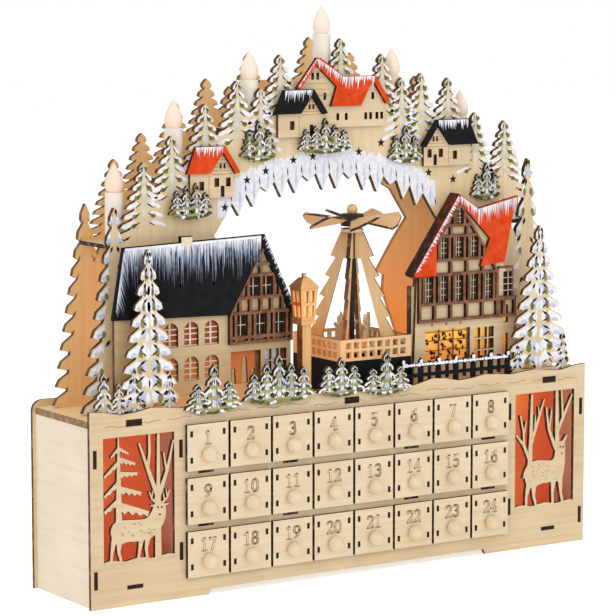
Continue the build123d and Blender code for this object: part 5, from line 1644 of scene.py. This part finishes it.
    def dress(self, materials: dict[str, bpy.types.Material]) -> None:
        """Set both scenes in their windows.

        Args:
            materials: every finish's material by name.
        """
        work = bmesh.new()
        for outlines, left, name in ((self.stag_scene(), -self.outer, "stag"),
                                     (self.doe_scene(), self.inner, "doe")):
            work.from_mesh(self.joined(outlines, left, name))
        piece = piece_of(work, "woodland_scenes", materials["birch_front"])
        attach(piece, "cabinet")
        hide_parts("window_scenes")
        LOG.info("woodland_scenes: %d faces", len(piece.data.polygons))
        coat = Sheetwork("woodland_paint", "cabinet", "birch_plywood")
        self.markings(coat)
        coat.place(materials)


@dataclass
class Drawers:
    """Numbers and burnt tab ends on the drawer fronts."""

    planes: Planes
    count: int = 24
    gap: float = 0.2
    ply: float = 3.0
    digit_height: float = 9.0
    digit_width: float = 5.4
    digit_gap: float = 1.5
    number_drop: float = 5.6
    nib: Point = (0.85, 0.3)
    outline: float = 0.42
    tab_inset: float = 3.5
    tab_half_width: float = 1.1
    tab_height: float = 4.3
    tab_foot: float = 5.6
    tab_head: float = 8.8

    @staticmethod
    def arc(x: float, z: float, rx: float, rz: float, start: float, end: float) -> list[Point]:
        """Points along an ellipse's arc.

        Args:
            x: centre across.
            z: centre height.
            rx: half-width.
            rz: half-height.
            start: first angle in degrees.
            end: last angle in degrees.
        Returns:
            The arc's points.
        """
        steps = max(4, int(abs(end - start) / 24))
        turns = [math.radians(start + (end - start) * i / steps) for i in range(steps + 1)]
        return [(x + rx * math.cos(turn), z + rz * math.sin(turn)) for turn in turns]

    def strokes(self, digit: int) -> list[list[Point]]:
        """Strokes of a digit in a box one wide and one high.

        Args:
            digit: 0 to 9.
        Returns:
            Its strokes.
        """
        arc = self.arc
        six = [[(0.82, 0.96), (0.42, 0.8), (0.12, 0.5), (0.07, 0.3)], arc(0.5, 0.29, 0.43, 0.29, 180, -180)]
        return {
            0: [arc(0.5, 0.5, 0.44, 0.5, 90, 450)],
            1: [[(0.2, 0.82), (0.52, 1.0), (0.52, 0.0)], [(0.2, 0.0), (0.84, 0.0)]],
            2: [arc(0.48, 0.72, 0.4, 0.28, 170, -40) + [(0.1, 0.02), (0.9, 0.02)],
                [(0.9, 0.02), (0.92, 0.16)]],
            3: [arc(0.46, 0.76, 0.36, 0.24, 160, -90), arc(0.46, 0.27, 0.42, 0.26, 90, -160)],
            4: [[(0.68, 0.0), (0.68, 1.0), (0.04, 0.3), (0.96, 0.3)], [(0.46, 0.0), (0.92, 0.0)]],
            5: [[(0.84, 1.0), (0.24, 1.0), (0.18, 0.56)] + arc(0.46, 0.31, 0.42, 0.31, 110, -150)],
            6: six,
            7: [[(0.1, 0.86), (0.1, 0.98), (0.92, 0.98), (0.42, 0.0)]],
            8: [arc(0.5, 0.75, 0.34, 0.25, 90, 450), arc(0.5, 0.26, 0.42, 0.26, 90, 450)],
            9: [[(1 - x, 1 - z) for x, z in stroke] for stroke in six],
        }[digit]

    def number(self, coat: Sheetwork, value: int, x: float, z: float, plane: float) -> None:
        """Engrave a number as an outline.

        Args:
            coat: sheetwork that takes the shapes.
            value: the number.
            x: middle of the number.
            z: foot of the number.
            plane: Y of the drawer's face.
        """
        digits = [int(letter) for letter in str(value)]
        pitch = self.digit_width + self.digit_gap
        for place, digit in enumerate(digits):
            left = x + (place - len(digits) / 2) * pitch + self.digit_gap / 2
            for stroke in self.strokes(digit):
                points = [(left + px * self.digit_width, z + pz * self.digit_height) for px, pz in stroke]
                for tone, grow, layer in (("engraving", self.outline, 0), ("cream", 0.0, 1)):
                    nx, nz = self.nib[0] / 2 + grow, self.nib[1] / 2 + grow
                    for (ax, az), (bx, bz) in zip(points, points[1:]):
                        coat.lay(tone, self.ribbon((ax, az), (bx, bz), nx, nz), plane, layer)

    @staticmethod
    def ribbon(start: Point, end: Point, nx: float, nz: float) -> list[Point]:
        """Hull of a square nib drawn from one point to another.

        Args:
            start: first point.
            end: second point.
            nx: half-width of the nib.
            nz: half-height of the nib.
        Returns:
            The stroke's six corners.
        """
        right = nx if end[0] >= start[0] else -nx
        up = nz if end[1] >= start[1] else -nz
        (ax, az), (bx, bz) = start, end
        return [(ax - right, az - up), (ax + right, az - up), (bx + right, bz - up),
                (bx + right, bz + up), (bx - right, bz + up), (ax - right, az + up)]

    def dress(self, materials: dict[str, bpy.types.Material]) -> None:
        """Number every drawer and burn its tab ends.

        Args:
            materials: every finish's material by name.
        """
        plane = self.planes.face - self.gap - self.ply
        for value in range(1, self.count + 1):
            name = f"drawer_{value:02d}"
            low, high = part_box(name)
            x, foot, head = (low[0] + high[0]) * 500, low[2] * 1000, high[2] * 1000
            coat = Sheetwork(f"{name}_paint", name, "birch_drawer")
            self.number(coat, value, x, head - self.number_drop - self.digit_height, plane)
            half = (high[0] - low[0]) * 500
            for side in (-1, 1):
                middle, wide = x + side * (half - self.tab_inset), self.tab_half_width
                for z0 in (foot + self.tab_foot, head - self.tab_head):
                    coat.lay("char", rect(middle - wide, z0, middle + wide, z0 + self.tab_height), plane)
            coat.place(materials)


@dataclass
class Cabinet:
    """Burnt tab ends and engraved snow lines on the front panel."""

    planes: Planes
    tab: float = 13.0
    tab_half_width: float = 1.3
    margin: float = 0.2
    deck_ply: float = 5.0
    deck_tab_inset: float = 35.5
    floor_tab: Point = (12.1, 14.7)
    side_tab_x: float = 216.0
    side_tab_inset: float = 21.0
    partition_x: float = 146.5
    partition_tab_low: float = 34.4
    partition_tab_inset: float = 19.5
    lines: int = 17
    line_start: float = -208.0
    line_pitch: float = 25.0

    def dress(self, materials: dict[str, bpy.types.Material]) -> None:
        """Burn the tab ends and cut the lines.

        Args:
            materials: every finish's material by name.
        """
        coat = Sheetwork("panel_paint", "cabinet", "birch_plywood")
        face, deck, under = self.planes.face, self.planes.deck, self.planes.deck - self.deck_ply
        half, thin = self.tab / 2 - self.margin, self.tab_half_width
        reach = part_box("front_panel")[1][0] * 1000 - self.deck_tab_inset
        for x in (-reach, 0.0, reach):
            coat.lay("char", rect(x - half, under + self.margin, x + half, deck - self.margin), face)
        for x in (-reach, reach):
            coat.lay("char", rect(x - half, self.floor_tab[0], x + half, self.floor_tab[1]), face)
        for away, low, drop in ((self.side_tab_x, self.side_tab_inset, self.side_tab_inset),
                                (self.partition_x, self.partition_tab_low, self.partition_tab_inset)):
            for x in (-away, away):
                for z in (low, under - drop):
                    coat.lay("char", rect(x - thin, z - half, x + thin, z + half), face)
        for index in range(self.lines):
            x = self.line_start + self.line_pitch * index
            z = deck - 1.0 - 3.0 * chance(index, 1)
            previous = (x, z)
            for step in range(1, 5):
                point = (x + 5.0 * step, z + 0.8 * math.sin(step * 1.9 + index))
                coat.lay("engraving", bar(previous, point, 0.4), face)
                previous = point
        coat.place(materials)


@dataclass
class Studio:
    """White room, soft lights and the camera at the photo's place."""

    planes: Planes
    eye_mm: tuple[float, float, float] = (-1114.0, -1639.2, 446.2)
    aim_mm: tuple[float, float, float] = (-38.75, 0.0, 201.5)
    lens_mm: float = 158.97
    lights: tuple[tuple[str, tuple[float, float, float], float, float], ...] = (
        ("key light", (-2.0, -1.1, 1.4), 1.4, 17.0), ("fill light", (1.0, -2.2, 1.2), 1.8, 14.0),
        ("top light", (0.0, -0.2, 2.2), 1.6, 8.0))

    def build(self) -> None:
        """Make floor, world, lights and camera."""
        self.floor()
        self.world()
        for name, place, size, power in self.lights:
            self.light(name, place, size, power)
        self.camera()

    def floor(self) -> None:
        """Make the pale floor."""
        shape = bmesh.new()
        bmesh.ops.create_grid(shape, x_segments=1, y_segments=1, size=6.0)
        material, tree = blank("white paper floor")
        white = (0.9, 0.9, 0.9, 1.0)
        path = add(tree, "LightPath")
        level = add(tree, "MapRange", {}, {0: path.outputs["Is Camera Ray"], 3: 0.35, 4: 0.62}).outputs[0]
        finished(tree, {"Base Color": white, "Roughness": 0.9, "Emission Color": white,
                        "Emission Strength": level})
        floor = piece_of(shape, "studio_floor", material)

    def world(self) -> None:
        """Make a white world for the camera and a softer one for the light."""
        world = bpy.data.worlds.new("studio")
        world.use_nodes = True
        tree = world.node_tree
        tree.nodes.clear()
        path = add(tree, "LightPath")
        seen = path.outputs["Is Camera Ray"]
        for ray in ("Is Glossy Ray", "Is Transmission Ray"):
            seen = add(tree, "Math", {"operation": "MAXIMUM"}, {0: seen, 1: path.outputs[ray]}).outputs[0]
        level = add(tree, "MapRange", {}, {0: seen, 3: 0.55, 4: 1.0}).outputs[0]
        back = add(tree, "Background", {}, {"Color": (1.0, 1.0, 1.0, 1.0), "Strength": level})
        add(tree, "OutputWorld", {}, {"Surface": back.outputs[0]})
        bpy.context.scene.world = world

    def light(self, name: str, place: tuple[float, float, float], size: float, power: float) -> None:
        """Add a square soft light aimed at the object.

        Args:
            name: name of the light.
            place: position in metres.
            size: side of the square in metres.
            power: power in watts.
        """
        lamp = bpy.data.lights.new(name, "AREA")
        lamp.size = size
        lamp.energy = power
        holder = bpy.data.objects.new(name, lamp)
        holder.location = place
        aim = Vector((0.0, 0.0, 0.2)) - holder.location
        holder.rotation_euler = aim.to_track_quat("-Z", "Y").to_euler()
        bpy.context.scene.collection.objects.link(holder)

    def camera(self) -> None:
        """Place the camera of the photo."""
        data = bpy.data.cameras.new("photo camera")
        data.sensor_width = 36.0
        data.lens = self.lens_mm
        data.clip_end = 50.0
        holder = bpy.data.objects.new("photo camera", data)
        front = Vector((0.0, self.planes.face, 0.0))
        eye, aim = (Vector(self.eye_mm) + front) / 1000, (Vector(self.aim_mm) + front) / 1000
        holder.location = eye
        holder.rotation_euler = (aim - eye).to_track_quat("-Z", "Y").to_euler()
        bpy.context.scene.collection.objects.link(holder)
        bpy.context.scene.camera = holder


def main() -> None:
    """Dress the frame."""
    logging.basicConfig(level=logging.INFO)
    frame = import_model()
    bpy.context.scene.view_settings.view_transform = "Standard"
    materials = {name: finish.make() for name, finish in FINISHES.items()}
    for name, node in frame["nodes"].items():
        finish = NODE_FINISHES.get(name, "drawer_birch")
        node.data.materials.clear()
        node.data.materials.append(materials[finish])
        LOG.info("%s in %s", name, finish)
    planes = Planes.read()
    village = Village(planes)
    for assembly in (Cabinet(planes), Woodland(planes), Drawers(planes), Woods(planes), village,
                     Hamlet(planes, village)):
        assembly.dress(materials)
    Studio(planes).build()


if __name__ == "__main__":
    main()
